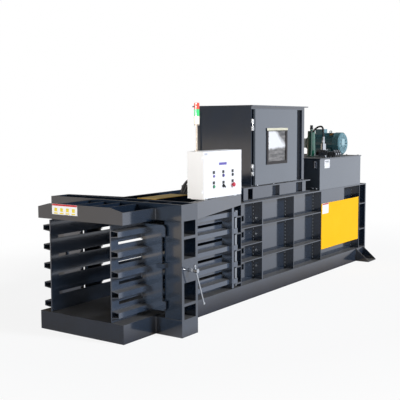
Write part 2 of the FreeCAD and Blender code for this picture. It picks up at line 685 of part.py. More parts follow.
def side_ribs():
    """The near side's flat-bar ribs: uprights at the bay ends, bars between."""
    depth = (-Y_BODY, -Y_WALL)
    uprights = [box((x, x + RIB), depth, (FLOOR_Z, ROOF_Z)) for x in BAY_STARTS]
    joint = BAY_STARTS[1] - RIB
    uprights.append(box((joint, joint + RIB), depth, (FLOOR_Z, ROOF_Z)))
    bars = []
    for bay, start in enumerate(BAY_STARTS):
        left = start + RIB
        right = min(start + BAY_LENGTHS[bay], X_BULKHEAD)
        if bay == 0:
            right -= RIB
        bars += [box((left, right), depth, (z - RIB / 2, z + RIB / 2))
                 for z in BAY_RIB_HEIGHTS[bay]]
    return uprights, bars


def near_side_ribs():
    """Near ribs; the cover bay has a sill and a short plate above its cover."""
    uprights, bars = side_ribs()
    start = X_COVER_BAY + RIB
    end = BAY_STARTS[COVER_BAY + 1]
    kept = [bar for bar in bars if not start - 1 < bar.BoundBox.XMin < start + 1]
    depth = (-Y_BODY, -Y_WALL)
    sill = box((start, end), depth, (COVER_BOTTOM, COVER_BOTTOM + RIB))
    plate = box((start, start + COVER_HEAD_LENGTH), (-Y_BODY, -Y_BODY + RIB),
                (COVER_TOP - COVER_FOLD, ROOF_Z))
    return group(uprights + kept + [sill, plate] + hinge_forks())


def far_side_ribs():
    """Far ribs, without a cover."""
    uprights, bars = side_ribs()
    return group([far_side(piece) for piece in uprights + bars + hinge_forks()])


def rear_side_cover():
    """The yellow cover over the hydraulic bay, a flat sheet with folded edges."""
    x = (X_COVER_BAY + RIB / 2, BAY_STARTS[COVER_BAY + 1] - COVER_REAR_GAP)
    sheet = box(x, (-Y_BODY - COVER_PLATE, -Y_BODY), (COVER_BOTTOM, COVER_TOP))
    face = -Y_BODY - COVER_PLATE
    rim = [edge for edge in sheet.Edges if abs(edge.BoundBox.YMax - face) < 0.1]
    return sheet.makeChamfer(COVER_PLATE / 2, rim)


def chamber_top():
    """The roof plate of the press body with the feed opening."""
    plate = box((X_BODY, X_BULKHEAD), (-Y_BODY, Y_BODY), (ROOF_Z, TOP_Z))
    return plate.cut(box((X_FEED, X_FEED_REAR), (-Y_INNER, Y_INNER), (ROOF_Z, TOP_Z)))


def rear_bulkhead():
    """The thick rear plate that takes the cylinder's thrust."""
    return box((X_BULKHEAD, X_REAR), (-Y_BODY, Y_BODY), (FLOOR_UNDER, TOP_Z))


def rear_foot():
    """A near foot: floor plate with two anchor holes between two gussets."""
    end = X_REAR - FOOT_REAR_GAP
    start = end - FOOT_LENGTH
    plate = box((start, end), (-FOOT_REACH, -Y_BODY), (0, FOOT_PLATE))
    middle = (start + end) / 2
    for x in (middle - ANCHOR_PITCH / 2, middle + ANCHOR_PITCH / 2):
        plate = plate.cut(Part.makeCylinder(ANCHOR_RADIUS, FOOT_PLATE, V(x, -ANCHOR_REACH, 0)))
    gusset = prism([V(start, -FOOT_REACH, FOOT_PLATE), V(start, -Y_BODY, FOOT_PLATE),
                    V(start, -Y_BODY, FLOOR_Z)], V(RIB, 0, 0))
    return fuse([plate, gusset, gusset.translated(V(FOOT_LENGTH - RIB, 0, 0))])


# ------------------------------------------------------ swinging outlet walls
def channel_profile(x, grow):
    """Half-hexagon section of a wall channel at station x, in the YZ plane."""
    face = CHANNEL_FACE / 2 + grow
    root = CHANNEL_ROOT / 2 + grow
    return [V(x, -Y_WALL, -root), V(x, -Y_CHANNEL - grow, -face),
            V(x, -Y_CHANNEL - grow, face), V(x, -Y_WALL, root)]


def wall_channel(z):
    """One pressed channel of the near wall, open towards the plate."""
    length = V(X_HEEL - X_WALL, 0, 0)
    shell = prism(channel_profile(X_WALL, 0), length).cut(
        prism(channel_profile(X_WALL, -CHANNEL_SHEET), length))
    return shell.translated(V(0, 0, z))


def near_wall_plate():
    """The near swinging wall: a plate with four strap slots."""
    bottom = FLOOR_Z + WALL_FLOOR_GAP
    plate = box((X_WALL, X_WALL_REAR), (-Y_WALL, -Y_INNER), (bottom, WALL_TOP))
    slots = [box((X_WALL + STRAP_SLOT_START, X_HEEL), (-Y_WALL, -Y_INNER),
                 (z - STRAP_SLOT / 2, z + STRAP_SLOT / 2))
             for z in SLOT_HEIGHTS]
    return plate.cut(Part.makeCompound(slots))


def ear_plate(x, lap):
    """An upright plate across the near wall's channels at station x; its two
    ends are wider where it laps over the post."""
    ends = EAR_REACH + lap
    foot = EAR_BOTTOM + EAR_FOOT
    thick = V(EAR_PLATE, 0, 0)
    outline = [(Y_WALL, EAR_BOTTOM), (ends, EAR_BOTTOM), (ends, foot), (EAR_REACH, foot),
               (EAR_REACH, EAR_STEP_Z), (ends, EAR_STEP_Z), (ends, EAR_TOP), (Y_WALL, EAR_TOP)]
    if not lap:
        outline = outline[:2] + outline[-2:]
    plate = prism([V(x, -y, z) for y, z in outline], thick)
    corners = [edge for edge in plate.Edges
               if edge.BoundBox.XLength > EAR_PLATE / 2 and edge.BoundBox.YMin < 1 - ends
               and (edge.BoundBox.ZMin < EAR_BOTTOM + 1 or edge.BoundBox.ZMin > EAR_TOP - 1)]
    plate = plate.makeChamfer(EAR_CORNER, corners)
    holes = [prism(channel_profile(x, 0), thick).translated(V(0, 0, z)) for z in CHANNEL_HEIGHTS]
    notch = [box((x, x + EAR_PLATE), (-Y_WALL - WALL, -Y_WALL),
                 (z - STRAP_SLOT / 2, z + STRAP_SLOT / 2)) for z in SLOT_HEIGHTS]
    return plate.cut(Part.makeCompound(holes + notch))


def heel_plate():
    """The thick plate that closes the near channels and carries the knuckles."""
    bottom = FLOOR_Z + WALL_FLOOR_GAP
    heel = box((X_HEEL, X_HEEL + HEEL_PLATE), (-HEEL_REACH, -Y_WALL), (bottom, WALL_TOP))
    knuckles = []
    for z in CHANNEL_HEIGHTS:
        low = V(X_HINGE, -HINGE_REACH, z - KNUCKLE_HEIGHT / 2)
        eye = Part.makeCylinder(KNUCKLE_RADIUS, KNUCKLE_HEIGHT, low)
        arm = box((X_HEEL + HEEL_PLATE / 2, X_HINGE),
                  (-HINGE_REACH - KNUCKLE_RADIUS, -HINGE_REACH + KNUCKLE_RADIUS),
                  (low.z, low.z + KNUCKLE_HEIGHT))
        knuckles += [eye, arm]
    body = fuse([heel] + knuckles)
    return body.cut(hinge_cutter(HINGE_PIN_RADIUS + PIN_GAP))


def hinge_cutter(radius):
    """A cutter along the near hinge pin."""
    return Part.makeCylinder(radius, PORTAL_HEIGHT, V(X_HINGE, -HINGE_REACH, 0))


def near_wall_ribs():
    """The channels, two ear plates and hinge heel welded on the near wall."""
    ears = [ear_plate(X_EAR, EAR_POST_GAP + EAR_LAP), ear_plate(X_REAR_EAR, 0)]
    return group([wall_channel(z) for z in CHANNEL_HEIGHTS] + ears + [heel_plate()])


def hinge_forks():
    """The plates on the body's first upright, one under each wall knuckle."""
    plates = []
    for z in CHANNEL_HEIGHTS:
        low = z - KNUCKLE_HEIGHT / 2 - SLIDE_GAP - FORK_PLATE
        plate = box((X_HINGE - KNUCKLE_RADIUS, X_BODY),
                    (-HINGE_REACH - KNUCKLE_RADIUS, -HINGE_REACH + KNUCKLE_RADIUS),
                    (low, low + FORK_PLATE))
        plates.append(plate.cut(hinge_cutter(HINGE_PIN_RADIUS + PIN_GAP)))
    return plates


def hinge_pin():
    """The near wall's long hinge pin with its head on the top knuckle."""
    top = CHANNEL_HEIGHTS[-1] + KNUCKLE_HEIGHT / 2 + SLIDE_GAP
    bottom = CHANNEL_HEIGHTS[0] - KNUCKLE_HEIGHT / 2 - SLIDE_GAP - 2 * FORK_PLATE
    shank = Part.makeCylinder(HINGE_PIN_RADIUS, top - bottom, V(X_HINGE, -HINGE_REACH, bottom))
    head = Part.makeCylinder(HINGE_PIN_RADIUS + PIN_HEAD_LIP, PIN_HEAD,
                             V(X_HINGE, -HINGE_REACH, top))
    return fuse([shank, head])


# ---------------------------------------------------------------- clamp screws
def near_clamp_pad():
    """The pad that presses on the wall's middle channel, coned back round a
    small flat, so that it follows the wall as that tilts."""
    face = -Y_CHANNEL - SLIDE_GAP
    back = face - PAD_LENGTH
    socket = SCREW_TIP_RADIUS + PIN_GAP
    bottom = back + SCREW_TIP_LENGTH + SLIDE_GAP
    section = [(0, face), (PAD_FLAT, face), (PAD_RADIUS, face - PAD_CROWN),
               (PAD_RADIUS, back), (socket, back), (socket, bottom), (0, bottom)]
    return turned([V(X_CLAMP + radius, y, CLAMP_Z) for radius, y in section],
                  V(X_CLAMP, 0, CLAMP_Z), V(0, 1, 0))


def near_clamp_screw():
    """The near screw: tip in the pad, shank through the nut, cross-bored head."""
    seat = -Y_CHANNEL - SLIDE_GAP - PAD_LENGTH
    shoulder = seat - SLIDE_GAP
    tip = rod(V(X_CLAMP, shoulder, CLAMP_Z), V(X_CLAMP, seat + SCREW_TIP_LENGTH, CLAMP_Z),
              SCREW_TIP_RADIUS)
    shank = rod(V(X_CLAMP, -SCREW_REACH, CLAMP_Z), V(X_CLAMP, shoulder, CLAMP_Z), SCREW_RADIUS)
    head = rod(V(X_CLAMP, -SCREW_REACH - SCREW_HEAD_LENGTH / 2, CLAMP_Z),
               V(X_CLAMP, -SCREW_REACH + SCREW_HEAD_LENGTH / 2, CLAMP_Z), SCREW_HEAD_RADIUS)
    reach = tommy_direction() * (SCREW_HEAD_RADIUS * 2)
    hub = V(X_CLAMP, -SCREW_REACH, CLAMP_Z)
    return fuse([tip, shank, head]).cut(rod(hub - reach, hub + reach, TOMMY_RADIUS + PIN_GAP))


def tommy_direction():
    """Unit vector down the tommy bar's long arm."""
    return V(sin(radians(TOMMY_TILT)), 0, -cos(radians(TOMMY_TILT)))


def tommy_end(centre):
    """The knob on a bar's end, turned to an octagonal section."""
    axis = tommy_direction()
    across = V(axis.z, 0, -axis.x)
    flat = TOMMY_BALL * tan(radians(22.5))
    section = [(0, TOMMY_BALL), (flat, TOMMY_BALL), (TOMMY_BALL, flat), (TOMMY_BALL, -flat),
               (flat, -TOMMY_BALL), (0, -TOMMY_BALL)]
    return turned([centre + across * r + axis * h for r, h in section], centre, axis)


def near_tommy_bar():
    """The sliding bar with a knob on each end."""
    hub = V(X_CLAMP, -SCREW_REACH, CLAMP_Z)
    low = hub + tommy_direction() * TOMMY_LONG_ARM
    high = hub - tommy_direction() * TOMMY_SHORT_ARM
    return fuse([rod(high, low, TOMMY_RADIUS), tommy_end(low), tommy_end(high)])


# ------------------------------------------------------------ ram and cylinder
X_RAM = X_FEED_REAR + RAM_FACE_SETBACK
X_RAM_REAR = X_RAM + RAM_STROKE - RAM_TAIL
RAM_BOTTOM = FLOOR_Z + RAM_BOTTOM_GAP
RAM_TOP = ROOF_Z - RAM_TOP_GAP
Y_RAM = Y_INNER - RAM_SIDE_GAP
STRIP_Y = Y_RAM - STRIP_INSET
CYLINDER_Z = FLOOR_Z + CYLINDER_HEIGHT
X_GLAND = X_RAM + RAM_FACE + GLAND_SETBACK
X_PISTON_REAR = X_BULKHEAD - END_CAP - PISTON_REAR_GAP


def ram_box():
    """The ram: a face plate with a hollow box behind it that covers the feed
    opening while the ram is forward."""
    outer = box((X_RAM, X_RAM_REAR), (-Y_RAM, Y_RAM), (RAM_BOTTOM, RAM_TOP))
    inside = box((X_RAM + RAM_FACE, X_RAM_REAR), (-Y_RAM + RAM_PLATE, Y_RAM - RAM_PLATE),
                 (RAM_BOTTOM + RAM_PLATE, RAM_TOP - RAM_PLATE))
    return outer.cut(inside)


def ram_blade():
    """The moving shear blade on the ram's top front edge."""
    return box((X_RAM, X_RAM + BLADE_DEPTH), (-Y_RAM, Y_RAM), (RAM_TOP, RAM_TOP + BLADE))


def fixed_blade():
    """The fixed shear blade under the front edge of the feed opening."""
    low = RAM_TOP + BLADE + BLADE_GAP
    return box((X_FEED - BLADE_DEPTH, X_FEED), (-Y_RAM, Y_RAM), (low, ROOF_Z))


def ram_wear_parts():
    """The moving blade and the wear strips: two under the ram, one on each
    side, two hold-downs on top."""
    length = (X_RAM + RAM_FACE, X_RAM_REAR)
    low = box(length, (-STRIP_Y - STRIP_WIDTH / 2, -STRIP_Y + STRIP_WIDTH / 2),
              (FLOOR_Z + SLIDE_GAP, RAM_BOTTOM))
    side = box(length, (-Y_INNER + SLIDE_GAP, -Y_RAM),
               (RAM_BOTTOM + STRIP_WIDTH, RAM_BOTTOM + 2 * STRIP_WIDTH))
    top = box((X_RAM_REAR - TOP_STRIP_LENGTH, X_RAM_REAR),
              (-STRIP_Y - STRIP_WIDTH / 2, -STRIP_Y + STRIP_WIDTH / 2),
              (RAM_TOP, ROOF_Z - SLIDE_GAP))
    pieces = [low, side, top]
    return group([ram_blade()] + pieces + [far_side(piece) for piece in pieces])


def on_cylinder_axis(x):
    """A point on the main cylinder's axis."""
    return V(x, 0, CYLINDER_Z)


def cylinder_barrel():
    """The barrel with its gland and the end cap bolted to the bulkhead."""
    tube = rod(on_cylinder_axis(X_GLAND), on_cylinder_axis(X_BULKHEAD), BARREL_OUTER)
    gland = rod(on_cylinder_axis(X_GLAND), on_cylinder_axis(X_GLAND + GLAND_LENGTH), GLAND_RADIUS)
    cap = rod(on_cylinder_axis(X_BULKHEAD - END_CAP), on_cylinder_axis(X_BULKHEAD),
              END_CAP_RADIUS)
    bore = rod(on_cylinder_axis(X_GLAND + GLAND_LENGTH),
               on_cylinder_axis(X_BULKHEAD - END_CAP), BARREL_BORE)
    rod_bore = rod(on_cylinder_axis(X_GLAND), on_cylinder_axis(X_BULKHEAD - END_CAP),
                   ROD_RADIUS + PIN_GAP)
    return fuse([tube, gland, cap]).cut(bore).cut(rod_bore)


def cylinder_rod():
    """Piston, rod and the flange that bolts to the ram's face plate."""
    start = X_RAM + RAM_FACE
    bar = rod(on_cylinder_axis(start), on_cylinder_axis(X_PISTON_REAR), ROD_RADIUS)
    flange = rod(on_cylinder_axis(start), on_cylinder_axis(start + ROD_FLANGE), ROD_FLANGE_RADIUS)
    piston = rod(on_cylinder_axis(X_PISTON_REAR - PISTON_LENGTH),
                 on_cylinder_axis(X_PISTON_REAR), BARREL_BORE - PIN_GAP)
    return fuse([bar, flange, piston])


# ------------------------------------------------------------ collar and hopper
def hopper_collar():
    """The welded collar between the body and the hopper."""
    start = X_FEED - COLLAR_START
    end = X_HOPPER_REAR + COLLAR_TAIL
    walls = box((X_HOPPER, X_HOPPER_REAR), (-Y_HOPPER, Y_HOPPER), (TOP_Z, COLLAR_TOP))
    top = box((start, end), (-COLLAR_REACH, COLLAR_REACH),
              (COLLAR_TOP - COLLAR_FLANGE, COLLAR_TOP))
    foot = box((start, end), (-COLLAR_REACH, COLLAR_REACH), (TOP_Z, TOP_Z + COLLAR_FLANGE))
    nose = box((start, start + COLLAR_FLANGE), (-COLLAR_REACH, COLLAR_REACH), (TOP_Z, COLLAR_TOP))
    panels = [box((start + low, start + high), (-COLLAR_REACH, -Y_HOPPER), (TOP_Z, COLLAR_TOP))
              for low, high in COLLAR_PANELS]
    throat = box((X_FEED, X_FEED_REAR), (-Y_INNER, Y_INNER), (TOP_Z, COLLAR_TOP))
    solids = [walls, top, foot, nose] + panels + [far_side(panel) for panel in panels]
    return fuse(solids).cut(throat)


def hopper_shell():
    """The feed hopper: a sheet box open above and below, with a rim, a recessed
    end panel, a pocket at each side of the door, and the door's opening."""
    x = (X_HOPPER, X_HOPPER_REAR)
    y = (-Y_HOPPER, Y_HOPPER)
    outer = box(x, y, (COLLAR_TOP, HOPPER_TOP))
    over = HOPPER_RIM_OVERHANG
    rim = box((x[0] - over, x[1] + over), (y[0] - over, y[1] + over),
              (HOPPER_TOP - HOPPER_RIM, HOPPER_TOP))
    inside = box((X_FEED, X_FEED_REAR), (-Y_INNER, Y_INNER), (COLLAR_TOP, HOPPER_TOP))
    frame_z = (COLLAR_TOP + HOPPER_FRAME, HOPPER_TOP - HOPPER_RIM - HOPPER_FRAME)
    frame_y = (-Y_HOPPER + HOPPER_FRAME, Y_HOPPER - HOPPER_FRAME)
    front = X_HOPPER + HOPPER_INSET
    pan = box((front - HOPPER_INSET, front + HOPPER_SHEET), (frame_y[0] - HOPPER_SHEET,
              frame_y[1] + HOPPER_SHEET), (frame_z[0] - HOPPER_SHEET, frame_z[1] + HOPPER_SHEET))
    recess = box((front - HOPPER_INSET, front), frame_y, frame_z)
    door_x = (X_HOPPER + DOOR_START, X_HOPPER + DOOR_START + DOOR_LENGTH)
    ends = [(X_HOPPER + POCKET_START, door_x[0] - DOOR_POCKET_GAP),
            (door_x[1] + DOOR_POCKET_GAP, X_HOPPER_REAR - REAR_POST)]
    pocket_z = (DOOR_BOTTOM, DOOR_TOP)
    pocket_back = -Y_HOPPER + POCKET_DEPTH
    linings = [box((start - HOPPER_SHEET, end + HOPPER_SHEET),
                   (-Y_HOPPER, pocket_back + HOPPER_SHEET),
                   (pocket_z[0] - HOPPER_SHEET, pocket_z[1] + HOPPER_SHEET))
               for start, end in ends]
    pockets = [box(end, (-Y_HOPPER, pocket_back), pocket_z) for end in ends]
    opening = box((door_x[0] + DOOR_LAP, door_x[1] - DOOR_LAP), (-Y_HOPPER, -Y_INNER),
                  (DOOR_BOTTOM + DOOR_LAP, DOOR_TOP - DOOR_LAP))
    shell = fuse([outer.cut(inside), rim.cut(inside), pan] + linings)
    return shell.cut(Part.makeCompound([recess, opening] + pockets))


def door_pin_point(z):
    """A point on the hopper door's hinge axis."""
    return V(X_HOPPER + DOOR_HINGE_X, -Y_HOPPER - DOOR_HINGE_PROUD, z)


def hopper_door():
    """The folded door with its window opening and two hinge arms."""
    x = (X_HOPPER + DOOR_START, X_HOPPER + DOOR_START + DOOR_LENGTH)
    back = -Y_HOPPER - SLIDE_GAP
    face = back - DOOR_DEPTH
    z = (DOOR_BOTTOM, DOOR_TOP)
    outer = box(x, (face, back), z)
    inside = box((x[0] + DOOR_SHEET, x[1] - DOOR_SHEET), (face + DOOR_SHEET, back),
                 (z[0] + DOOR_SHEET, z[1] - DOOR_SHEET))
    window_x = (x[0] + WINDOW_START, x[0] + WINDOW_START + WINDOW_LENGTH)
    window_z = (WINDOW_BOTTOM, WINDOW_BOTTOM + WINDOW_HEIGHT)
    window = box(window_x, (face, back), window_z)
    tray = outer.cut(inside).cut(window)
    arms = []
    third = DOOR_HINGE_LENGTH / 3
    for low in DOOR_HINGES:
        arm_z = (low + third + SLIDE_GAP, low + 2 * third - SLIDE_GAP)
        pin = door_pin_point(arm_z[0])
        eye = Part.makeCylinder(DOOR_KNUCKLE_RADIUS, arm_z[1] - arm_z[0], pin)
        arm = box((pin.x, x[0]), (pin.y - DOOR_LEAF / 2, pin.y + DOOR_LEAF / 2), arm_z)
        bore = Part.makeCylinder(DOOR_PIN_RADIUS + PIN_GAP, arm_z[1] - arm_z[0], pin)
        arms.append(fuse([eye, arm]).cut(bore))
    return fuse([tray] + arms)


def hopper_hinges():
    """The hopper's two fixed hinges, each with its pin pressed in."""
    hinges = []
    third = DOOR_HINGE_LENGTH / 3
    for low in DOOR_HINGES:
        pin = door_pin_point(low)
        pieces = [Part.makeCylinder(DOOR_PIN_RADIUS, DOOR_HINGE_LENGTH, pin)]
        for start in (low, low + 2 * third):
            height = (start, start + third)
            pieces += [Part.makeCylinder(DOOR_KNUCKLE_RADIUS, third, V(pin.x, pin.y, start)),
                       box((X_HOPPER, pin.x), (-Y_HOPPER - DOOR_LEAF, -Y_HOPPER), height)]
        hinges.append(fuse(pieces))
    return hinges


def window_frame():
    """The proud frame round the door's window."""
    x0 = X_HOPPER + DOOR_START + WINDOW_START
    face = -Y_HOPPER - SLIDE_GAP - DOOR_DEPTH
    outer = box((x0 - WINDOW_FRAME, x0 + WINDOW_LENGTH + WINDOW_FRAME),
                (face - WINDOW_FRAME_PROUD, face),
                (WINDOW_BOTTOM - WINDOW_FRAME, WINDOW_BOTTOM + WINDOW_HEIGHT + WINDOW_FRAME))
    lip = WINDOW_LIP
    hole = box((x0 + lip, x0 + WINDOW_LENGTH - lip), (face - WINDOW_FRAME_PROUD, face),
               (WINDOW_BOTTOM + lip, WINDOW_BOTTOM + WINDOW_HEIGHT - lip))
    return outer.cut(hole)


def window_glass():
    """The pane behind the frame's lip."""
    x0 = X_HOPPER + DOOR_START + WINDOW_START
    face = -Y_HOPPER - SLIDE_GAP - DOOR_DEPTH
    return box((x0, x0 + WINDOW_LENGTH), (face, face + GLASS),
               (WINDOW_BOTTOM, WINDOW_BOTTOM + WINDOW_HEIGHT))


# ------------------------------------------------------------------ power pack
def oil_tank():
    """The welded oil tank, closed by its lid."""
    half = Y_TANK
    outer = box((X_TANK, X_TANK + TANK_LENGTH), (-half, half), (TOP_Z, TANK_TOP))
    t = TANK_SHEET
    inside = box((X_TANK + t, X_TANK + TANK_LENGTH - t), (-half + t, half - t),
                 (TOP_Z + t, TANK_TOP))
    return outer.cut(inside)


def tank_lid():
    """The lid plate that carries motor, valves and breather."""
    half = Y_TANK + TANK_LID_OVERHANG
    return box((X_TANK - TANK_LID_OVERHANG, X_TANK + TANK_LENGTH + TANK_LID_OVERHANG),
               (-half, half), (TANK_TOP, LID_Z))


def level_gauge():
    """The sight gauge on the tank's front face."""
    y = GAUGE_INSET - Y_TANK
    top = TANK_TOP - GAUGE_DROP
    bar = box((X_TANK - GAUGE_DEPTH, X_TANK), (y - GAUGE_WIDTH / 2, y + GAUGE_WIDTH / 2),
              (top - GAUGE_HEIGHT, top))
    upright = [edge for edge in bar.Edges
               if edge.BoundBox.ZLength > GAUGE_HEIGHT / 2 and edge.BoundBox.XMax < X_TANK - 1]
    return bar.makeFillet(GAUGE_DEPTH / 2, upright)


MOTOR_AXIS = V(X_TANK + MOTOR_X, 0, LID_Z + MOTOR_AXIS_HEIGHT)


def on_motor_axis(y):
    """A point on the motor's axis."""
    return V(MOTOR_AXIS.x, y, MOTOR_AXIS.z)


def motor_fins():
    """The frame's outside: a toothed section pushed along."""
    half = MOTOR_FIN_WIDTH / (2 * MOTOR_RADIUS)
    tooth = ((-half, MOTOR_RADIUS), (-half, MOTOR_RADIUS + MOTOR_FIN),
             (half, MOTOR_RADIUS + MOTOR_FIN), (half, MOTOR_RADIUS))
    start = on_motor_axis(MOTOR_FRONT)
    points = []
    for n in range(MOTOR_FINS):
        middle = 2 * pi * (n + 0.5) / MOTOR_FINS
        points += [start + V(sin(middle + turn), 0, cos(middle + turn)) * radius
                   for turn, radius in tooth]
    return prism(points, V(0, MOTOR_LENGTH, 0))


def motor_feet():
    """A foot bar and its strut on each side of the motor."""
    start = MOTOR_FRONT + FOOT_BAR_INSET
    length = (start, start + FOOT_BAR_LENGTH)
    feet = []
    for x in (MOTOR_AXIS.x - FOOT_SPREAD, MOTOR_AXIS.x + FOOT_SPREAD):
        feet.append(box((x - FOOT_BAR / 2, x + FOOT_BAR / 2), length,
                        (LID_Z, LID_Z + FOOT_BAR_HEIGHT)))
        feet.append(box((x - FOOT_STRUT / 2, x + FOOT_STRUT / 2), length,
                        (LID_Z, LID_Z + FOOT_STRUT_HEIGHT)))
    return feet


def lifting_eye():
    """The eye on top of the motor: a neck and a flat ring."""
    crown = on_motor_axis(MOTOR_FRONT + EYE_INSET) + V(0, 0, MOTOR_RADIUS)
    centre = crown + V(0, 0, EYE_HEIGHT)
    side = V(EYE_PLATE / 2, 0, 0)
    neck = box((centre.x - side.x, centre.x + side.x), (centre.y - EYE_HOLE, centre.y + EYE_HOLE),
               (crown.z - SINK, centre.z - EYE_HOLE))
    ring = rod(centre - side, centre + side, EYE_RADIUS)
    return fuse([neck, ring]).cut(rod(centre - side, centre + side, EYE_HOLE))


def motor_housing():
    """The finned frame on its feet, with its terminal box and lifting eye,
    bored for the rotor."""
    rear = MOTOR_FRONT + MOTOR_LENGTH
    top = MOTOR_AXIS.z + MOTOR_RADIUS
    start = MOTOR_FRONT + TERMINAL_INSET
    terminal = box((MOTOR_AXIS.x - TERMINAL_WIDTH / 2, MOTOR_AXIS.x + TERMINAL_WIDTH / 2),
                   (start, start + TERMINAL_LENGTH), (top - SINK, top + TERMINAL_HEIGHT))
    body = fuse([motor_fins()] + motor_feet() + [terminal, lifting_eye()])
    shaft = rod(on_motor_axis(MOTOR_FRONT), on_motor_axis(rear), SHAFT_RADIUS + PIN_GAP)
    stator = rod(on_motor_axis(MOTOR_FRONT + MOTOR_SHIELD), on_motor_axis(rear - MOTOR_SHIELD),
                 STATOR_BORE)
    return body.cut(stator).cut(shaft)


def spokes(shape, count):
    """A piece drawn upwards from the motor's axis, repeated round it."""
    turns = [shape.rotated(V(0, 0, 0), V(0, 1, 0), 360.0 * n / count) for n in range(count)]
    return [turn.translated(V(MOTOR_AXIS.x, 0, MOTOR_AXIS.z)) for turn in turns]


def motor_fan_cowl():
    """The round fan cowl with its ring of air slots."""
    front = MOTOR_FRONT - COWL_LENGTH
    face = COWL_RADIUS - COWL_CHAMFER
    lining = COWL_RADIUS - COWL_SHEET
    bend = front + COWL_CHAMFER
    section = [(0, front), (face, front), (COWL_RADIUS, bend), (COWL_RADIUS, MOTOR_FRONT),
               (lining, MOTOR_FRONT), (lining, bend), (face, front + COWL_SHEET),
               (0, front + COWL_SHEET)]
    shell = turned([on_motor_axis(y) + V(radius, 0, 0) for radius, y in section],
                   MOTOR_AXIS, V(0, 1, 0))
    slot = box((-COWL_SLOT / 2, COWL_SLOT / 2), (front, front + COWL_SHEET),
               (COWL_SLOT_START, COWL_SLOT_END))
    return shell.cut(Part.makeCompound(spokes(slot, COWL_SLOTS)))


def motor_rotor():
    """Shaft, rotor core and the cooling fan."""
    rear = MOTOR_FRONT + MOTOR_LENGTH
    disc_y = MOTOR_FRONT - FAN_REACH
    shaft = rod(on_motor_axis(disc_y), on_motor_axis(rear), SHAFT_RADIUS)
    core = rod(on_motor_axis(MOTOR_FRONT + ROTOR_INSET), on_motor_axis(rear - ROTOR_INSET),
               STATOR_BORE - AIR_GAP)
    disc = rod(on_motor_axis(disc_y), on_motor_axis(disc_y + FAN_DISC), FAN_RADIUS)
    blade = box((-FAN_BLADE / 2, FAN_BLADE / 2),
                (disc_y + FAN_DISC, disc_y + FAN_DISC + FAN_BLADE_DEPTH), (FAN_HUB, FAN_RADIUS))
    return fuse([shaft, core, disc] + spokes(blade, FAN_BLADES))


def pump_unit():
    """The bell housing and the gear pump behind the motor."""
    rear = MOTOR_FRONT + MOTOR_LENGTH
    bell = Part.makeCone(BELL_RADIUS, BELL_TIP_RADIUS, BELL_LENGTH, on_motor_axis(rear), V(0, 1, 0))
    start = rear + BELL_LENGTH
    half = PUMP_SIDE / 2
    pump = box((MOTOR_AXIS.x - half, MOTOR_AXIS.x + half), (start, start + PUMP_LENGTH),
               (MOTOR_AXIS.z - half, MOTOR_AXIS.z + half))
    return group([bell, pump])


def valve_manifold():
    """The bright manifold block with an upright cartridge and a hose port."""
    half = MANIFOLD_SIDE / 2
    x = X_TANK + MANIFOLD_X
    block = box((x - half, x + half), (MANIFOLD_Y - half, MANIFOLD_Y + half),
                (LID_Z, LID_Z + MANIFOLD_HEIGHT))
    top = V(x, MANIFOLD_Y, LID_Z + MANIFOLD_HEIGHT)
    cartridge = Part.makeCylinder(CARTRIDGE_RADIUS, CARTRIDGE_HEIGHT, top)
    port = Part.makeCylinder(PORT_RADIUS, PORT_HEIGHT, top + V(0, 0, CARTRIDGE_HEIGHT))
    return fuse([block, cartridge, port])


def solenoid_valves():
    """The row of directional valves beside the manifold, a coil at each end."""
    valves = []
    first = X_TANK + MANIFOLD_X + MANIFOLD_SIDE / 2 + VALVE_LEAD
    for x in pattern(first, VALVE_PITCH, VALVES):
        body = box((x - VALVE_WIDTH / 2, x + VALVE_WIDTH / 2),
                   (MANIFOLD_Y - VALVE_LENGTH / 2, MANIFOLD_Y + VALVE_LENGTH / 2),
                   (LID_Z, LID_Z + VALVE_HEIGHT))
        coils = box((x - COIL_SIDE / 2, x + COIL_SIDE / 2),
                    (MANIFOLD_Y - COIL_LENGTH / 2, MANIFOLD_Y + COIL_LENGTH / 2),
                    (LID_Z + COIL_LIFT, LID_Z + COIL_LIFT + COIL_SIDE))
        valves.append(fuse([body, coils]))
    return group(valves)


def tower_foot():
    """Where the breather stands on the lid."""
    return V(X_TANK + TOWER_X, TOWER_Y, LID_Z)


def tower_outlet(reach):
    """A point on the breather's slanting hose outlet, reach from its axis."""
    root = tower_foot() + V(0, 0, TOWER_HEIGHT - OUTLET_DROP)
    return root + V(*OUTLET_DIRECTION).normalize() * reach


def breather_tower():
    """The tapered green tower with a flange below, a nozzle on top and a hose
    outlet on its shoulder."""
    foot = tower_foot()
    outlet = rod(tower_outlet(0), tower_outlet(OUTLET_REACH), OUTLET_RADIUS)
    flange = Part.makeCylinder(TOWER_FLANGE_RADIUS, TOWER_FLANGE, foot)
    body = Part.makeCone(TOWER_FOOT_RADIUS, TOWER_TOP_RADIUS, TOWER_HEIGHT, foot)
    nozzle = Part.makeCylinder(NOZZLE_RADIUS, NOZZLE_HEIGHT, foot + V(0, 0, TOWER_HEIGHT))
    return fuse([flange, body, nozzle, outlet])


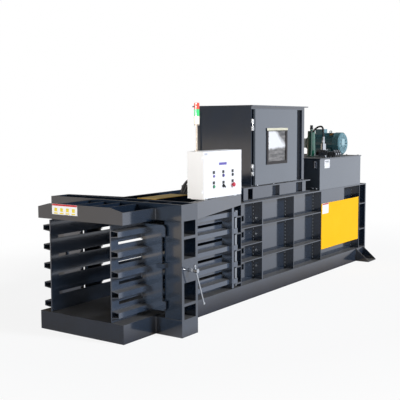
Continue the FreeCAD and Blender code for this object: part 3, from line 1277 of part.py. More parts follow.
def hose(points, radius):
    """A hose of eight-sided section through the points: straight runs joined by
    bends as large as the runs allow, each bend a chain of short mitred runs."""
    path = [points[0]]
    for before, corner, after in zip(points, points[1:], points[2:]):
        back = before - corner
        ahead = after - corner
        turn = pi - back.getAngle(ahead)
        trim = HOSE_TRIM * min(back.Length, ahead.Length)
        bend = trim / tan(turn / 2)
        centre = corner + (back.normalize() + ahead.normalize()).normalize() * hypot(trim, bend)
        first = corner + back * trim
        swing = (first - centre).cross(corner + ahead * trim - centre).normalize()
        for n in range(HOSE_BEND_RUNS + 1):
            spoke = FreeCAD.Rotation(swing, degrees(turn) * n / HOSE_BEND_RUNS)
            path.append(centre + spoke.multVec(first - centre))
    path.append(points[-1])
    along = path[1] - path[0]
    side = along.cross(V(1, 1, 1)).normalize() * radius
    corners = [path[0] + FreeCAD.Rotation(along, 360.0 * n / HOSE_SIDES).multVec(side)
               for n in range(HOSE_SIDES + 1)]
    return Part.makePolygon(path).makePipeShell([Part.makePolygon(corners)], True, False, MITRED)


def lid_hose():
    """The arched hose from the breather's shoulder to the manifold's port."""
    port = V(X_TANK + MANIFOLD_X, MANIFOLD_Y,
             LID_Z + MANIFOLD_HEIGHT + CARTRIDGE_HEIGHT + PORT_HEIGHT)
    points = [tower_outlet(OUTLET_REACH), tower_outlet(OUTLET_REACH + HOSE_LEAD),
              port + V(0, HOSE_SHIFT, HOSE_CREST), port + V(0, 0, HOSE_TURN), port]
    return hose(points, HOSE_RADIUS)


def roof_hose(n):
    """One of the hoses that rise from the roof to the cabinet's back."""
    back = -CABINET_FRONT + CABINET_DEPTH
    guard_end = X_PORTAL_REAR + GUARD_START + GUARD_LENGTH
    start = V(guard_end + ROOF_HOSE_START[0] + ROOF_HOSE_STEP[0] * n,
              ROOF_HOSE_START[1] + ROOF_HOSE_STEP[1] * n, TOP_Z)
    entry = V(X_CABINET + CABINET_WIDTH - ROOF_HOSE_ENTRY[0] + ROOF_ENTRY_STEP[0] * n, back,
              CABINET_BOTTOM + ROOF_HOSE_ENTRY[1] + ROOF_ENTRY_STEP[1] * n)
    bend, turn = ROOF_HOSE_BEND, ROOF_HOSE_TURN
    points = [start, start + V(0, 0, ROOF_HOSE_RISE[0] + ROOF_HOSE_RISE[1] * n),
              V(start.x + bend[0], start.y + bend[1], entry.z + bend[2]),
              V(entry.x + turn[0], (start.y + back) / 2 + turn[1], entry.z + turn[2]),
              V(entry.x, back + ROOF_HOSE_TAIL, entry.z), entry]
    return hose(points, ROOF_HOSE_RADIUS)


def hydraulic_hoses():
    """The arched hose on the tank lid and the bundle behind the cabinet."""
    return group([lid_hose()] + [roof_hose(n) for n in range(ROOF_HOSES)])


# -------------------------------------------------------- cabinet and controls
def control_cabinet():
    """The sheet-steel enclosure, open towards its door, on two foot bars."""
    x = (X_CABINET, X_CABINET + CABINET_WIDTH)
    y = (-CABINET_FRONT, -CABINET_FRONT + CABINET_DEPTH)
    t = CABINET_SHEET
    shell = box(x, y, (CABINET_BOTTOM, CABINET_TOP)).cut(
        box((x[0] + t, x[1] - t), (y[0], y[1] - t), (CABINET_BOTTOM + t, CABINET_TOP - t)))
    feet = []
    for inset in (CABINET_FOOT_INSET, CABINET_WIDTH - CABINET_FOOT_INSET - CABINET_FOOT):
        low = x[0] + inset
        feet.append(box((low, low + CABINET_FOOT), y, (PORTAL_HEIGHT, CABINET_BOTTOM)))
    brackets = [cabinet_knuckle(z - CABINET_KNUCKLE / 2, z, -CABINET_FRONT + CABINET_LEAF_LENGTH)
                for z in cabinet_hinge_heights()]
    return fuse([shell] + feet + brackets)


def cabinet_hinge_heights():
    """Centres of the two cabinet hinges."""
    return [CABINET_BOTTOM + CABINET_HINGE_INSET, CABINET_TOP - CABINET_HINGE_INSET]


def cabinet_pin_point(z):
    """A point on the cabinet door's hinge axis."""
    return V(X_CABINET - CABINET_KNUCKLE_RADIUS, -CABINET_FRONT - CABINET_PIN_PROUD, z)


def cabinet_knuckle(low, high, root_y):
    """A bored knuckle with a leaf that runs back to root_y."""
    pin = cabinet_pin_point(low)
    eye = Part.makeCylinder(CABINET_KNUCKLE_RADIUS, high - low, pin)
    leaf = box((X_CABINET - CABINET_LEAF, X_CABINET), sorted((pin.y, root_y)), (low, high))
    bore = Part.makeCylinder(CABINET_PIN_RADIUS + PIN_GAP, high - low, pin)
    return fuse([eye, leaf]).cut(bore)


def cabinet_door():
    """The door tray, with bores for the controls and its hinge knuckles."""
    x = (X_CABINET, X_CABINET + CABINET_WIDTH)
    z = (CABINET_BOTTOM, CABINET_TOP)
    back = -CABINET_FRONT - DOOR_SEAL_GAP
    t = CABINET_SHEET
    tray = box(x, (-Y_DOOR_FACE, back), z).cut(
        box((x[0] + t, x[1] - t), (-Y_DOOR_FACE + t, back), (z[0] + t, z[1] - t)))
    bores = [rod(V(across, -Y_DOOR_FACE, up), V(across, back, up), PLUNGER_RADIUS + SLIDE_GAP)
             for across, up in control_points()]
    knuckles = [cabinet_knuckle(h + SLIDE_GAP, h + CABINET_KNUCKLE / 2,
                                -Y_DOOR_FACE + DOOR_LEAF_SETBACK)
                for h in cabinet_hinge_heights()]
    return fuse([tray] + knuckles).cut(Part.makeCompound(bores))


def cabinet_hinge_pins():
    """The pins of the cabinet door."""
    return [Part.makeCylinder(CABINET_PIN_RADIUS, CABINET_KNUCKLE,
                              cabinet_pin_point(z - CABINET_KNUCKLE / 2))
            for z in cabinet_hinge_heights()]


def control_points():
    """Centres of the six controls, row by row from the bottom left."""
    return [(X_CABINET + x, CABINET_BOTTOM + z) for z in CONTROL_Z for x in CONTROL_X]


def control_bezels():
    """The rings round four of the controls, seated on the door."""
    rings = []
    for index in RINGED_CONTROLS:
        x, z = control_points()[index]
        outer = rod(V(x, -Y_DOOR_FACE, z), V(x, -Y_DOOR_FACE - BEZEL_PROUD, z), BEZEL_RADIUS)
        rings.append(outer.cut(rod(V(x, -Y_DOOR_FACE, z), V(x, -Y_DOOR_FACE - BEZEL_PROUD, z),
                                   PLUNGER_RADIUS + SLIDE_GAP)))
    return group(rings)


def plunger(index, proud):
    """A round control: head in front of the door and stem through its bore."""
    x, z = control_points()[index]
    face = -Y_DOOR_FACE - proud
    body = rod(V(x, face, z), V(x, face + proud + PLUNGER_STEM, z), PLUNGER_RADIUS)
    rim = [edge for edge in body.Edges if abs(edge.BoundBox.YMax - face) < 0.1]
    return body.makeChamfer(PLUNGER_CHAMFER, rim)


def start_button():
    """Green push button, bottom left."""
    return plunger(0, PLUNGER_PROUD)


def mode_selector():
    """Black selector with a raised grip, bottom middle."""
    x, z = control_points()[1]
    face = -Y_DOOR_FACE - PLUNGER_PROUD
    grip = box((-GRIP_WIDTH / 2, GRIP_WIDTH / 2), (face - GRIP_HEIGHT, face + GRIP_SINK),
               (-GRIP_LONG_END, GRIP_SHORT_END))
    grip.rotate(V(0, 0, 0), V(0, 1, 0), GRIP_ANGLE)
    return fuse([plunger(1, PLUNGER_PROUD), grip.translated(V(x, 0, z))])


def emergency_stop():
    """Red mushroom head, bottom right."""
    x, z = control_points()[2]
    face = -Y_DOOR_FACE - MUSHROOM_PROUD
    head = rod(V(x, face, z), V(x, face + MUSHROOM_CAP, z), MUSHROOM_RADIUS)
    rim = [edge for edge in head.Edges if abs(edge.BoundBox.YMax - face) < 0.1]
    stem = rod(V(x, face + MUSHROOM_CAP, z), V(x, -Y_DOOR_FACE + PLUNGER_STEM, z), PLUNGER_RADIUS)
    return fuse([head.makeChamfer(MUSHROOM_CHAMFER, rim), stem])


def power_lamp():
    """Violet pilot lamp, top left."""
    return plunger(3, LAMP_PROUD)


def reset_button():
    """Dark push button, top middle."""
    return plunger(4, PLUNGER_PROUD)


def stop_button():
    """Grey push button, top right."""
    return plunger(5, PLUNGER_PROUD)


def signal_foot():
    """Where the signal tower stands on the cabinet."""
    return V(X_CABINET + SIGNAL_X, -CABINET_FRONT + SIGNAL_DEPTH, CABINET_TOP)


def signal_pole():
    """The pole with its foot flange and the collar under the lenses."""
    foot = signal_foot()
    flange = Part.makeCylinder(SIGNAL_RADIUS, SIGNAL_COLLAR, foot)
    pole = Part.makeCylinder(SIGNAL_POLE_RADIUS, SIGNAL_STEM - SIGNAL_COLLAR, foot)
    collar = Part.makeCylinder(SIGNAL_RADIUS, SIGNAL_COLLAR,
                               foot + V(0, 0, SIGNAL_STEM - SIGNAL_COLLAR))
    return fuse([flange, pole, collar])


def signal_lens(index):
    """One lens drum; the topmost has a chamfered cap edge."""
    foot = signal_foot()
    low = SIGNAL_BOTTOM + sum(LENS_HEIGHTS[:index])
    drum = Part.makeCylinder(SIGNAL_RADIUS, LENS_HEIGHTS[index], V(foot.x, foot.y, low))
    if index == len(LENS_HEIGHTS) - 1:
        top = [edge for edge in drum.Edges
               if edge.BoundBox.ZMin > low + LENS_HEIGHTS[index] - 0.1]
        drum = drum.makeChamfer(SIGNAL_CAP, top)
    return drum


def hinge_hardware():
    """The fixed pins of walls and cabinet, and the hopper's fixed hinges."""
    pins = [hinge_pin(), far_side(hinge_pin())]
    return group(pins + cabinet_hinge_pins() + hopper_hinges())


PARTS = {
    "base_skid": base_skid,
    "chamber_floor": chamber_floor,
    "outlet_plinth": outlet_plinth,
    "portal_ring_plates": portal_ring_plates,
    "portal_webs": portal_webs,
    "outlet_cap": outlet_cap,
    "tension_roof": tension_roof,
    "roof_guard": roof_guard,
    "chamber_walls": chamber_walls,
    "near_side_ribs": near_side_ribs,
    "far_side_ribs": far_side_ribs,
    "rear_side_cover": rear_side_cover,
    "chamber_top": chamber_top,
    "rear_bulkhead": rear_bulkhead,
    "near_wall_plate": near_wall_plate,
    "far_wall_plate": lambda: far_side(near_wall_plate()),
    "near_wall_ribs": near_wall_ribs,
    "far_wall_ribs": lambda: far_side(near_wall_ribs()),
    "hinge_hardware": hinge_hardware,
    "near_clamp_pad": near_clamp_pad,
    "far_clamp_pad": lambda: far_side(near_clamp_pad()),
    "near_clamp_screw": near_clamp_screw,
    "far_clamp_screw": lambda: far_side(near_clamp_screw()),
    "near_tommy_bar": near_tommy_bar,
    "far_tommy_bar": lambda: far_side(near_tommy_bar()),
    "ram_box": ram_box,
    "ram_wear_parts": ram_wear_parts,
    "fixed_blade": fixed_blade,
    "cylinder_barrel": cylinder_barrel,
    "cylinder_rod": cylinder_rod,
    "hopper_collar": hopper_collar,
    "hopper_shell": hopper_shell,
    "hopper_door": hopper_door,
    "window_frame": window_frame,
    "window_glass": window_glass,
    "oil_tank": oil_tank,
    "tank_lid": tank_lid,
    "level_gauge": level_gauge,
    "motor_housing": motor_housing,
    "motor_fan_cowl": motor_fan_cowl,
    "motor_rotor": motor_rotor,
    "pump_unit": pump_unit,
    "valve_manifold": valve_manifold,
    "solenoid_valves": solenoid_valves,
    "breather_tower": breather_tower,
    "hydraulic_hoses": hydraulic_hoses,
    "control_cabinet": control_cabinet,
    "cabinet_door": cabinet_door,
    "control_bezels": control_bezels,
    "start_button": start_button,
    "mode_selector": mode_selector,
    "emergency_stop": emergency_stop,
    "power_lamp": power_lamp,
    "reset_button": reset_button,
    "stop_button": stop_button,
    "signal_pole": signal_pole,
    "signal_lens_white": lambda: signal_lens(0),
    "signal_lens_green": lambda: signal_lens(1),
    "signal_lens_red": lambda: signal_lens(2),
}


def main():
    """Write one STEP file per sub-part."""
    os.makedirs("parts", exist_ok=True)
    for name, make in PARTS.items():
        make().exportStep("parts/" + name + ".step")


main()
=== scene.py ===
"""Looks of the horizontal recycling baler: paint, plated steel, markings, welds,
bolts, hoses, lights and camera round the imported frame.

Lengths are metres in the machine's frame: X runs from the bale outlet to the
power pack, -Y is the operator's side, Z is up.
"""
import json
from math import cos, pi, radians, sin

import bpy
import numpy as np
from mathutils import Matrix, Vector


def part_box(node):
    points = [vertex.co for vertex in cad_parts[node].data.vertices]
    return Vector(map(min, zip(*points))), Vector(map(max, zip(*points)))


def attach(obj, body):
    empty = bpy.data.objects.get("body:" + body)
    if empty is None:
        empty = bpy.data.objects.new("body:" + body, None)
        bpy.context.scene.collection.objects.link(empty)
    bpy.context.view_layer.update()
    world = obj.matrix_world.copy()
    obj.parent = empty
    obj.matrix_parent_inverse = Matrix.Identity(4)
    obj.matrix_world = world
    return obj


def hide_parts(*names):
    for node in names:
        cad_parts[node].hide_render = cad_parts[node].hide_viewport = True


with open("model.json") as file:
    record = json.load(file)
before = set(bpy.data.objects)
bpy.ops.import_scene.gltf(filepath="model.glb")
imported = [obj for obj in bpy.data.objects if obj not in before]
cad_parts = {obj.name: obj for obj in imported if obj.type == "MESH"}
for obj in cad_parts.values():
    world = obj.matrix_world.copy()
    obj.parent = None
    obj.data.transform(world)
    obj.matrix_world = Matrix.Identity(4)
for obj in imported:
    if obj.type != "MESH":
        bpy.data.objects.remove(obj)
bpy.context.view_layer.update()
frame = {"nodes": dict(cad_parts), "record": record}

MM = 0.001
SIDES = ((-1, "near"), (1, "far"))           # the way of Y and the word of each side
UP = (0, 0, 1)
FACE_X = ((0, -1, 0), (0, 0, 1))             # across and up on a face towards the outlet
FACE_Y = ((1, 0, 0), (0, 0, 1))              # across and up on a face towards the operator
FLOOR_TOP = 0.160                            # the chamber's floor plate
BASE_TOP = 0.148                             # the base under that plate
ROOF_UNDER = 0.972                           # under the roof plates and the portal's head
PORTAL_FACE = -2.019                         # the portal's front


# ------------------------------------------------------------------ materials
NOISE_SPAN = {"From Min": 0.3, "From Max": 0.7}     # the values that noise mostly keeps to


def linear(code):
    """An sRGB hex colour as linear RGBA."""
    srgb = np.array([int(code[i:i + 2], 16) for i in (1, 3, 5)]) / 255
    low = srgb / 12.92
    high = ((srgb + 0.055) / 1.055) ** 2.4
    return (*np.where(srgb <= 0.04045, low, high), 1.0)


def add(tree, kind, inputs, **settings):
    """Adds a shader node with its settings and gives back its outputs. Each
    input is a value, a hex colour or another node's output. A Mix node's inputs
    0, 6 and 7 are its factor and colours, and 2 and 3 are its numbers; its
    colour is output 2 and its number output 0."""
    made = tree.nodes.new("ShaderNode" + kind)
    for key, value in settings.items():
        setattr(made, key, value)
    for key, value in inputs.items():
        if isinstance(value, bpy.types.NodeSocket):
            tree.links.new(value, made.inputs[key])
        else:
            made.inputs[key].default_value = linear(value) if isinstance(value, str) else value
    return made.outputs


def new_material(name):
    """An empty node material and its tree."""
    made = bpy.data.materials.new(name)
    made.use_nodes = True
    made.node_tree.nodes.clear()
    return made, made.node_tree


def enamel(name, colour, shade, dust_and_painted_reflection="#4C4A47", gloss=(0.08, 0.18), coat=1.0, patch=0.45,
           peel=0.014, depth=0.0003, ior=1.65):
    """Sprayed enamel: one deep colour with a faint drift of tone over each plate,
    a clear skin as strong as coat says, orange peel (drawn about three times its
    real width, so that it shows), and another colour in patches on level faces that dulls them: a dusty film
    on most finishes, a painted glare on the yellow one."""
    made, tree = new_material(name)
    place = add(tree, "TexCoord", {})["Object"]
    drift = add(tree, "TexNoise", {"Vector": place, "Scale": 1 / patch, "Detail": 4.0, "Roughness": 0.6})[0]
    skin = add(tree, "TexNoise", {"Vector": place, "Scale": 1 / peel, "Detail": 2.0})[0]
    speck = add(tree, "TexNoise", {"Vector": place, "Scale": 8 / patch, "Detail": 5.0, "Roughness": 0.65})[0]
    upward = add(tree, "SeparateXYZ", {"Vector": add(tree, "NewGeometry", {})["Normal"]})[2]
    # Level faces take the colour given as dust: real dust on most finishes, a painted glare on the yellow
    # guard's.
    level = add(tree, "MapRange", {"Value": upward, "From Min": 0.86, "From Max": 0.97})[0]
    patchy = add(tree, "MapRange", {"Value": speck, **NOISE_SPAN, "To Min": 0.7})[0]
    cover = add(tree, "Math", {0: level, 1: patchy}, operation="MULTIPLY")[0]
    tone = add(tree, "MapRange", {"Value": drift, **NOISE_SPAN})[0]
    paint = add(tree, "Mix", {0: tone, 6: colour, 7: shade}, data_type="RGBA")[2]
    sheen = add(tree, "MapRange", {"Value": drift, **NOISE_SPAN, "To Min": gloss[0], "To Max": gloss[1]})[0]
    shader = add(tree, "BsdfPrincipled", {
        "IOR": ior, "Coat IOR": ior, "Coat Roughness": 0.08,
        "Base Color": add(tree, "Mix", {0: cover, 6: paint, 7: dust_and_painted_reflection}, data_type="RGBA")[2],
        "Roughness": add(tree, "Mix", {0: cover, 2: sheen, 3: 0.75})[0],
        "Coat Weight": add(tree, "Mix", {0: cover, 2: coat, 3: 0.0})[0],
        "Normal": add(tree, "Bump", {"Height": skin, "Strength": 0.35, "Distance": depth})[0]})[0]
    add(tree, "OutputMaterial", {"Surface": shader})
    return made


def metal(name, colour, shade, gloss, grain, stretch=(1, 1, 1)):
    """Bare or plated metal: scratches or turning marks along one way draw its
    shine out. Real ones are a few tenths of a millimetre wide, and they are
    drawn coarser, so that they show."""
    made, tree = new_material(name)
    place = add(tree, "TexCoord", {})["Object"]
    drawn = add(tree, "Mapping", {"Vector": place, "Scale": stretch})[0]
    lines = add(tree, "TexNoise", {"Vector": drawn, "Scale": 1 / grain, "Detail": 5.0, "Roughness": 0.65})[0]
    shader = add(tree, "BsdfPrincipled", {
        "Metallic": 1.0,
        "Base Color": add(tree, "Mix", {0: lines, 6: colour, 7: shade}, data_type="RGBA")[2],
        "Roughness": add(tree, "MapRange", {"Value": lines, **NOISE_SPAN,
                                            "To Min": gloss[0], "To Max": gloss[1]})[0],
        "Normal": add(tree, "Bump", {"Height": lines, "Strength": 0.35, "Distance": 0.2 * MM})[0]})[0]
    add(tree, "OutputMaterial", {"Surface": shader})
    return made


def moulding(name, colour, shade, gloss=(0.25, 0.4), grain=0.002, depth=0.00005, coat=0.0):
    """Moulded plastic or rubber: a fine even grain, drawn several times its real
    width so that it shows, softens the shine, with a slight drift of tone."""
    made, tree = new_material(name)
    place = add(tree, "TexCoord", {})["Object"]
    fine = add(tree, "TexNoise", {"Vector": place, "Scale": 1 / grain, "Detail": 2.0})[0]
    drift = add(tree, "TexNoise", {"Vector": place, "Scale": 1 / (grain * 12), "Detail": 2.0})[0]
    shader = add(tree, "BsdfPrincipled", {
        "IOR": 1.5, "Coat Weight": coat,
        "Base Color": add(tree, "Mix", {0: drift, 6: colour, 7: shade}, data_type="RGBA")[2],
        "Roughness": add(tree, "MapRange", {"Value": fine, **NOISE_SPAN,
                                            "To Min": gloss[0], "To Max": gloss[1]})[0],
        "Normal": add(tree, "Bump", {"Height": fine, "Strength": 0.4, "Distance": depth})[0]})[0]
    add(tree, "OutputMaterial", {"Surface": shader})
    return made


def lens_plastic(name, colour, shade):
    """Moulded polycarbonate signal lens: upright flutes about 4 mm apart break
    its shine into lines, and its colour seems to glow from within."""
    made, tree = new_material(name)
    place = add(tree, "TexCoord", {})["Object"]
    drift = add(tree, "TexNoise", {"Vector": place, "Scale": 1 / 0.03, "Detail": 2.0})[0]
    upright = add(tree, "Mapping", {"Vector": place, "Scale": (1.0, 1.0, 0.02)})[0]
    flutes = add(tree, "TexNoise", {"Vector": upright, "Scale": 1 / 0.004, "Detail": 1.0})[0]
    shader = add(tree, "BsdfPrincipled", {
        "IOR": 1.58, "Coat Weight": 0.5, "Emission Strength": 0.25, "Emission Color": colour,
        "Base Color": add(tree, "Mix", {0: drift, 6: colour, 7: shade}, data_type="RGBA")[2],
        "Roughness": add(tree, "MapRange", {"Value": drift, **NOISE_SPAN,
                                            "To Min": 0.12, "To Max": 0.24})[0],
        "Normal": add(tree, "Bump", {"Height": flutes, "Strength": 0.5, "Distance": 0.6 * MM})[0]})[0]
    add(tree, "OutputMaterial", {"Surface": shader})
    return made


def window_acrylic():
    """Cast acrylic pane: a pale field above a level edge and below a slanting one,
    which is painted reflection of the bright surroundings, and dark slanting streaks
    outside it, painted reflection of dark things, under a clear gloss that the streaks dull a little."""
    made, tree = new_material("acrylic_pane")
    place = add(tree, "TexCoord", {})["Object"]
    sway = add(tree, "TexNoise", {"Vector": place, "Scale": 1 / 0.12, "Detail": 3.0})[0]
    field = []
    for slope, (start, end), sway_by in ((-0.04, (1.508, 1.532), 0.05), (0.75, (1.93, 1.87), 0.12)):
        height = add(tree, "VectorMath", {0: place, 1: (slope, 0.0, 1.0)}, operation="DOT_PRODUCT")["Value"]
        edge = add(tree, "Math", {0: sway, 1: sway_by, 2: height}, operation="MULTIPLY_ADD")[0]
        field.append(add(tree, "MapRange", {"Value": edge, "From Min": start, "From Max": end})[0])
    # The pale field: painted reflection of the bright surroundings.
    painted_reflection = add(tree, "Math", {0: field[0], 1: field[1]}, operation="MULTIPLY")[0]
    slanted = add(tree, "Mapping", {"Vector": place, "Scale": (1.0, 1.0, 5.0),
                                  "Rotation": (0, radians(-20), 0)})[0]
    dust_and_painted_reflection = add(tree, "TexNoise", {"Vector": slanted, "Scale": 1 / 0.16, "Detail": 4.0, "Roughness": 0.6})[0]
    thick = add(tree, "MapRange", {"Value": dust_and_painted_reflection, "From Min": 0.35, "From Max": 0.65})[0]
    # Dark streaks outside the pale field: painted reflection of dark things.
    painted_dark_streaks = add(tree, "Mix", {0: thick, 6: "#3B3A3A", 7: "#85817D"}, data_type="RGBA")[2]
    shader = add(tree, "BsdfPrincipled", {
        "IOR": 1.49, "Coat Weight": 0.4, "Transmission Weight": 0.1,
        "Base Color": add(tree, "Mix", {0: painted_reflection, 6: painted_dark_streaks, 7: "#F2F2F2"}, data_type="RGBA")[2],
        "Roughness": add(tree, "MapRange", {"Value": dust_and_painted_reflection, **NOISE_SPAN, "To Min": 0.04, "To Max": 0.12})[0],
        "Normal": add(tree, "Bump", {"Height": dust_and_painted_reflection, "Strength": 0.15, "Distance": 0.3 * MM})[0]})[0]
    add(tree, "OutputMaterial", {"Surface": shader})
    return made


def vinyl(name, colour, shade):
    """Printed vinyl film: flat colour, slightly satin."""
    return moulding(name, colour, shade, (0.32, 0.42), 0.004, 0.00002)


MATERIALS = {
    # Gloss enamel, nearly black: wide plates mirror the floor and one another.
    "frame_paint": enamel("slate_blue_gloss_enamel", "#212D3D", "#1A2532", coat=0.85, ior=1.75),
    # The same paint on folded sheet, softer in its shine; it is drawn lighter and greyer than the frame's,
    # and that lightness is painted light.
    "wall_paint": enamel("slate_blue_enamel", "#3A4657", "#313C4B", gloss=(0.1, 0.2), coat=0.8,
                         ior=1.8),
    # Satin enamel without a clear skin: a flat yellow, whose level faces take a pale cream that is painted
    # glare, not dust.
    "guard_yellow": enamel("signal_yellow_enamel", "#FFC000", "#FABA00", "#FFE4A6", (0.55, 0.65),
                           0.0, ior=1.3),
    # Gloss enamel with a clear shine, in a grey lighter than the frame's; part of that lightness is painted
    # reflection of the bright side.
    "door_paint": enamel("grey_gloss_enamel", "#4C545D", "#464E57", "#4B4B4A"),
    # Ground steel: a soft shine drawn out by scratches.
    "bright_steel": metal("machined_steel", "#B4B7BA", "#8F9397", (0.25, 0.45), 0.006, (1, 1, 0.15)),
    # Chrome on turned steel: bright, with nearly sharp mirror images.
    "plated_steel": metal("chromed_steel", "#E3E5E8", "#C6CACE", (0.08, 0.2), 0.01, (1, 0.2, 1)),
    # Extruded rubber: black, almost without shine.
    "window_trim": moulding("black_epdm_rubber", "#161313", "#2A2320", (0.5, 0.65)),
    "clear_glass": window_acrylic(),
    # Tinted acrylic: dark under a smooth shine.
    "gauge_plastic": moulding("gauge_acrylic", "#343C4C", "#282F3C", (0.1, 0.2), coat=0.5),
    # Machine enamel on castings: a lumpy skin that breaks up the shine.
    "motor_paint": enamel("teal_machine_enamel", "#558B95", "#3E7580", "#5E7F86", (0.2, 0.35),
                          0.4, 0.08, 0.006),
    # Thick paint on rough cast iron: dark, with no mirror images.
    "pump_iron": enamel("painted_cast_iron", "#16231F", "#1D2C28", "#2B2F2D", (0.45, 0.6),
                        0.2, 0.05, 0.004, 0.0008),
    # Nylon with glass fibres in it: a dull black.
    "valve_plastic": moulding("black_glass_filled_nylon", "#141517", "#232529", (0.4, 0.55)),
    # Machine enamel, freshly glossy: a deep green with bright edges.
    "breather_paint": enamel("green_machine_enamel", "#0C6B52", "#08503D", "#1C5A48", (0.1, 0.2),
                             1.0, 0.06, 0.006),
    # A hose's rubber cover: a coarse, dull black.
    "hose_rubber": moulding("hydraulic_hose_rubber", "#161617", "#222224", (0.5, 0.7), 0.003, 0.0002),
    # Powder coat: an even white, finely pebbled, without mirror images.
    "cabinet_paint": enamel("white_powder_coat", "#F4F4F4", "#F0F0F0", "#E6E6E4", (0.4, 0.5),
                            0.0, 0.3, 0.004),
    # Moulded polyamide: black with a soft shine.
    "bezel_plastic": moulding("black_polyamide", "#17181A", "#25272A"),
    # Moulded ABS: one clear colour with a soft shine.
    "green_plastic": moulding("green_abs", "#1FAE6A", "#189A5C"),
    "red_plastic": moulding("red_abs", "#D93049", "#C8263F", coat=0.3),
    "violet_plastic": moulding("violet_abs", "#6E62B8", "#5B4FA6"),
    "grey_plastic": moulding("grey_abs", "#6E7073", "#5E6063"),
    # Brushed aluminium: a warm grey whose shine runs along the pole.
    "pole_aluminium": metal("brushed_aluminium", "#B9AFA2", "#978D81", (0.3, 0.45), 0.004, (1, 1, 0.1)),
    "white_lens": lens_plastic("cream_polycarbonate", "#F6E7CB", "#FFF7E6"),
    "green_lens": lens_plastic("green_polycarbonate", "#1FCB5E", "#4BE58A"),
    "red_lens": lens_plastic("coral_polycarbonate", "#F0563F", "#E23A2A"),
}
PRINT_WHITE = vinyl("white_vinyl", "#F2F2F2", "#E8E8E8")
PRINT_RED = vinyl("red_vinyl", "#C81E2B", "#B8141F")
PRINT_YELLOW = vinyl("yellow_vinyl", "#E8D23C", "#DCC42E")
PRINT_VIOLET = vinyl("violet_vinyl", "#6C63B4", "#5D54A4")
PRINT_GREY = vinyl("grey_vinyl", "#5E6266", "#4D5156")
PALE_TAPE = vinyl("pale_grey_vinyl", "#D2D2D6", "#C6C6CC")
# Extruded PVC: cream, with a soft shine.
CREAM_STRIP = moulding("cream_pvc_strip", "#E2DEC6", "#CFC9AE", (0.3, 0.45), 0.004)
# Etched brass: warm and softly bright.
BRASS_PLATE = metal("etched_brass", "#B98A3C", "#9A6E2A", (0.3, 0.45), 0.002)
# Enamelled sheet: a paler teal than the motor's.
COWL_PLATE = enamel("pale_teal_enamel", "#9FC3C8", "#86AEB5", "#8AA6AA", (0.2, 0.3), 0.4, 0.05, 0.006)


def paint_frame_nodes():
    """Gives each CAD node the material of its record slot."""
    for part in frame["record"]["subparts"]:
        node = frame["nodes"][part["node"]]
        node.data.materials.clear()
        node.data.materials.append(MATERIALS[part["material_slot"]])


# ------------------------------------------------------------- surface tools
def build(name, points, faces, finish, body="frame"):
    """An object from vertex and face arrays, riding on a body; its finish is a
    slot of the record or a material."""
    mesh = bpy.data.meshes.new(name)
    mesh.from_pydata(np.asarray(points, float).reshape(-1, 3).tolist(), [], [list(f) for f in faces])
    mesh.materials.append(MATERIALS[finish] if isinstance(finish, str) else finish)
    mesh.update()
    made = bpy.data.objects.new(name, mesh)
    bpy.context.scene.collection.objects.link(made)
    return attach(made, body)


def grid_faces(rows, columns, around):
    """Quads of a rows x columns grid; the columns close on themselves if around."""
    last = columns if around else columns - 1
    r, c = np.meshgrid(np.arange(rows - 1), np.arange(last), indexing="ij")
    step = (c + 1) % columns
    quads = np.stack([r * columns + c, r * columns + step,
                      (r + 1) * columns + step, (r + 1) * columns + c], -1)
    return quads.reshape(-1, 4).tolist()


def side_frame(axis):
    """Two unit vectors square to an axis."""
    axis = np.asarray(axis, float) / np.linalg.norm(axis)
    helper = np.array([0, 0, 1.0]) if abs(axis[2]) < 0.9 else np.array([1.0, 0, 0])
    u = np.cross(helper, axis)
    u /= np.linalg.norm(u)
    return axis, u, np.cross(axis, u)


def turned(profile, base, axis, corners=32, phase=0.0, facets=0):
    """Points of a turned or hexagonal form: for each (height, radius) of the
    profile a ring base + height*axis + radius*(cos t, sin t), where a faceted
    form divides the radius by cos of the angle from the nearest flat."""
    axis, u, v = side_frame(axis)
    t = np.linspace(0, 2 * pi, corners, endpoint=False) + phase
    swell = np.ones(corners)
    if facets:
        sector = 2 * pi / facets
        swell = 1 / np.cos((t - phase + sector / 2) % sector - sector / 2)
    h, r = np.array(profile, float).T
    ring = np.outer(np.cos(t) * swell, u) + np.outer(np.sin(t) * swell, v)
    points = np.asarray(base, float) + h[:, None, None] * axis + r[:, None, None] * ring
    faces = grid_faces(len(h), corners, True)
    count = len(h) * corners
    faces += [list(range(corners))[::-1], list(range(count - corners, count))]
    return points.reshape(-1, 3), faces


def joined(pieces):
    """Several (points, faces) pairs as one."""
    points, faces, offset = [], [], 0
    for p, f in pieces:
        points.append(np.asarray(p).reshape(-1, 3))
        faces += [[i + offset for i in face] for face in f]
        offset += len(points[-1])
    return np.concatenate(points), faces


def panel(centre, across, up, width, height, thick, corner):
    """A thin plate with rounded corners: its outline is a quarter arc round
    each corner point, pushed out by its thickness along across x up."""
    across, up = np.asarray(across, float), np.asarray(up, float)
    out = np.cross(across, up)
    t = np.linspace(0, pi / 2, 6)
    outline = []
    for quarter in range(4):
        sx, sy = ((1, 1), (-1, 1), (-1, -1), (1, -1))[quarter]
        angle = t + quarter * pi / 2
        outline.append(np.stack([sx * (width / 2 - corner) + corner * np.cos(angle),
                                 sy * (height / 2 - corner) + corner * np.sin(angle)], -1))
    flat = np.concatenate(outline)
    ring = np.asarray(centre, float) + flat[:, :1] * across + flat[:, 1:] * up
    points = np.concatenate([ring, ring + out * thick])
    n = len(ring)
    faces = [[i, (i + 1) % n, n + (i + 1) % n, n + i] for i in range(n)]
    return points, faces + [list(range(n))[::-1], list(range(n, 2 * n))]


# --------------------------------------------------------------- fasteners
WIDE_HEAD = 19 * MM          # widths over the flats of the bolts' heads
MIDDLE_HEAD = 14 * MM
SMALL_HEAD = 10 * MM


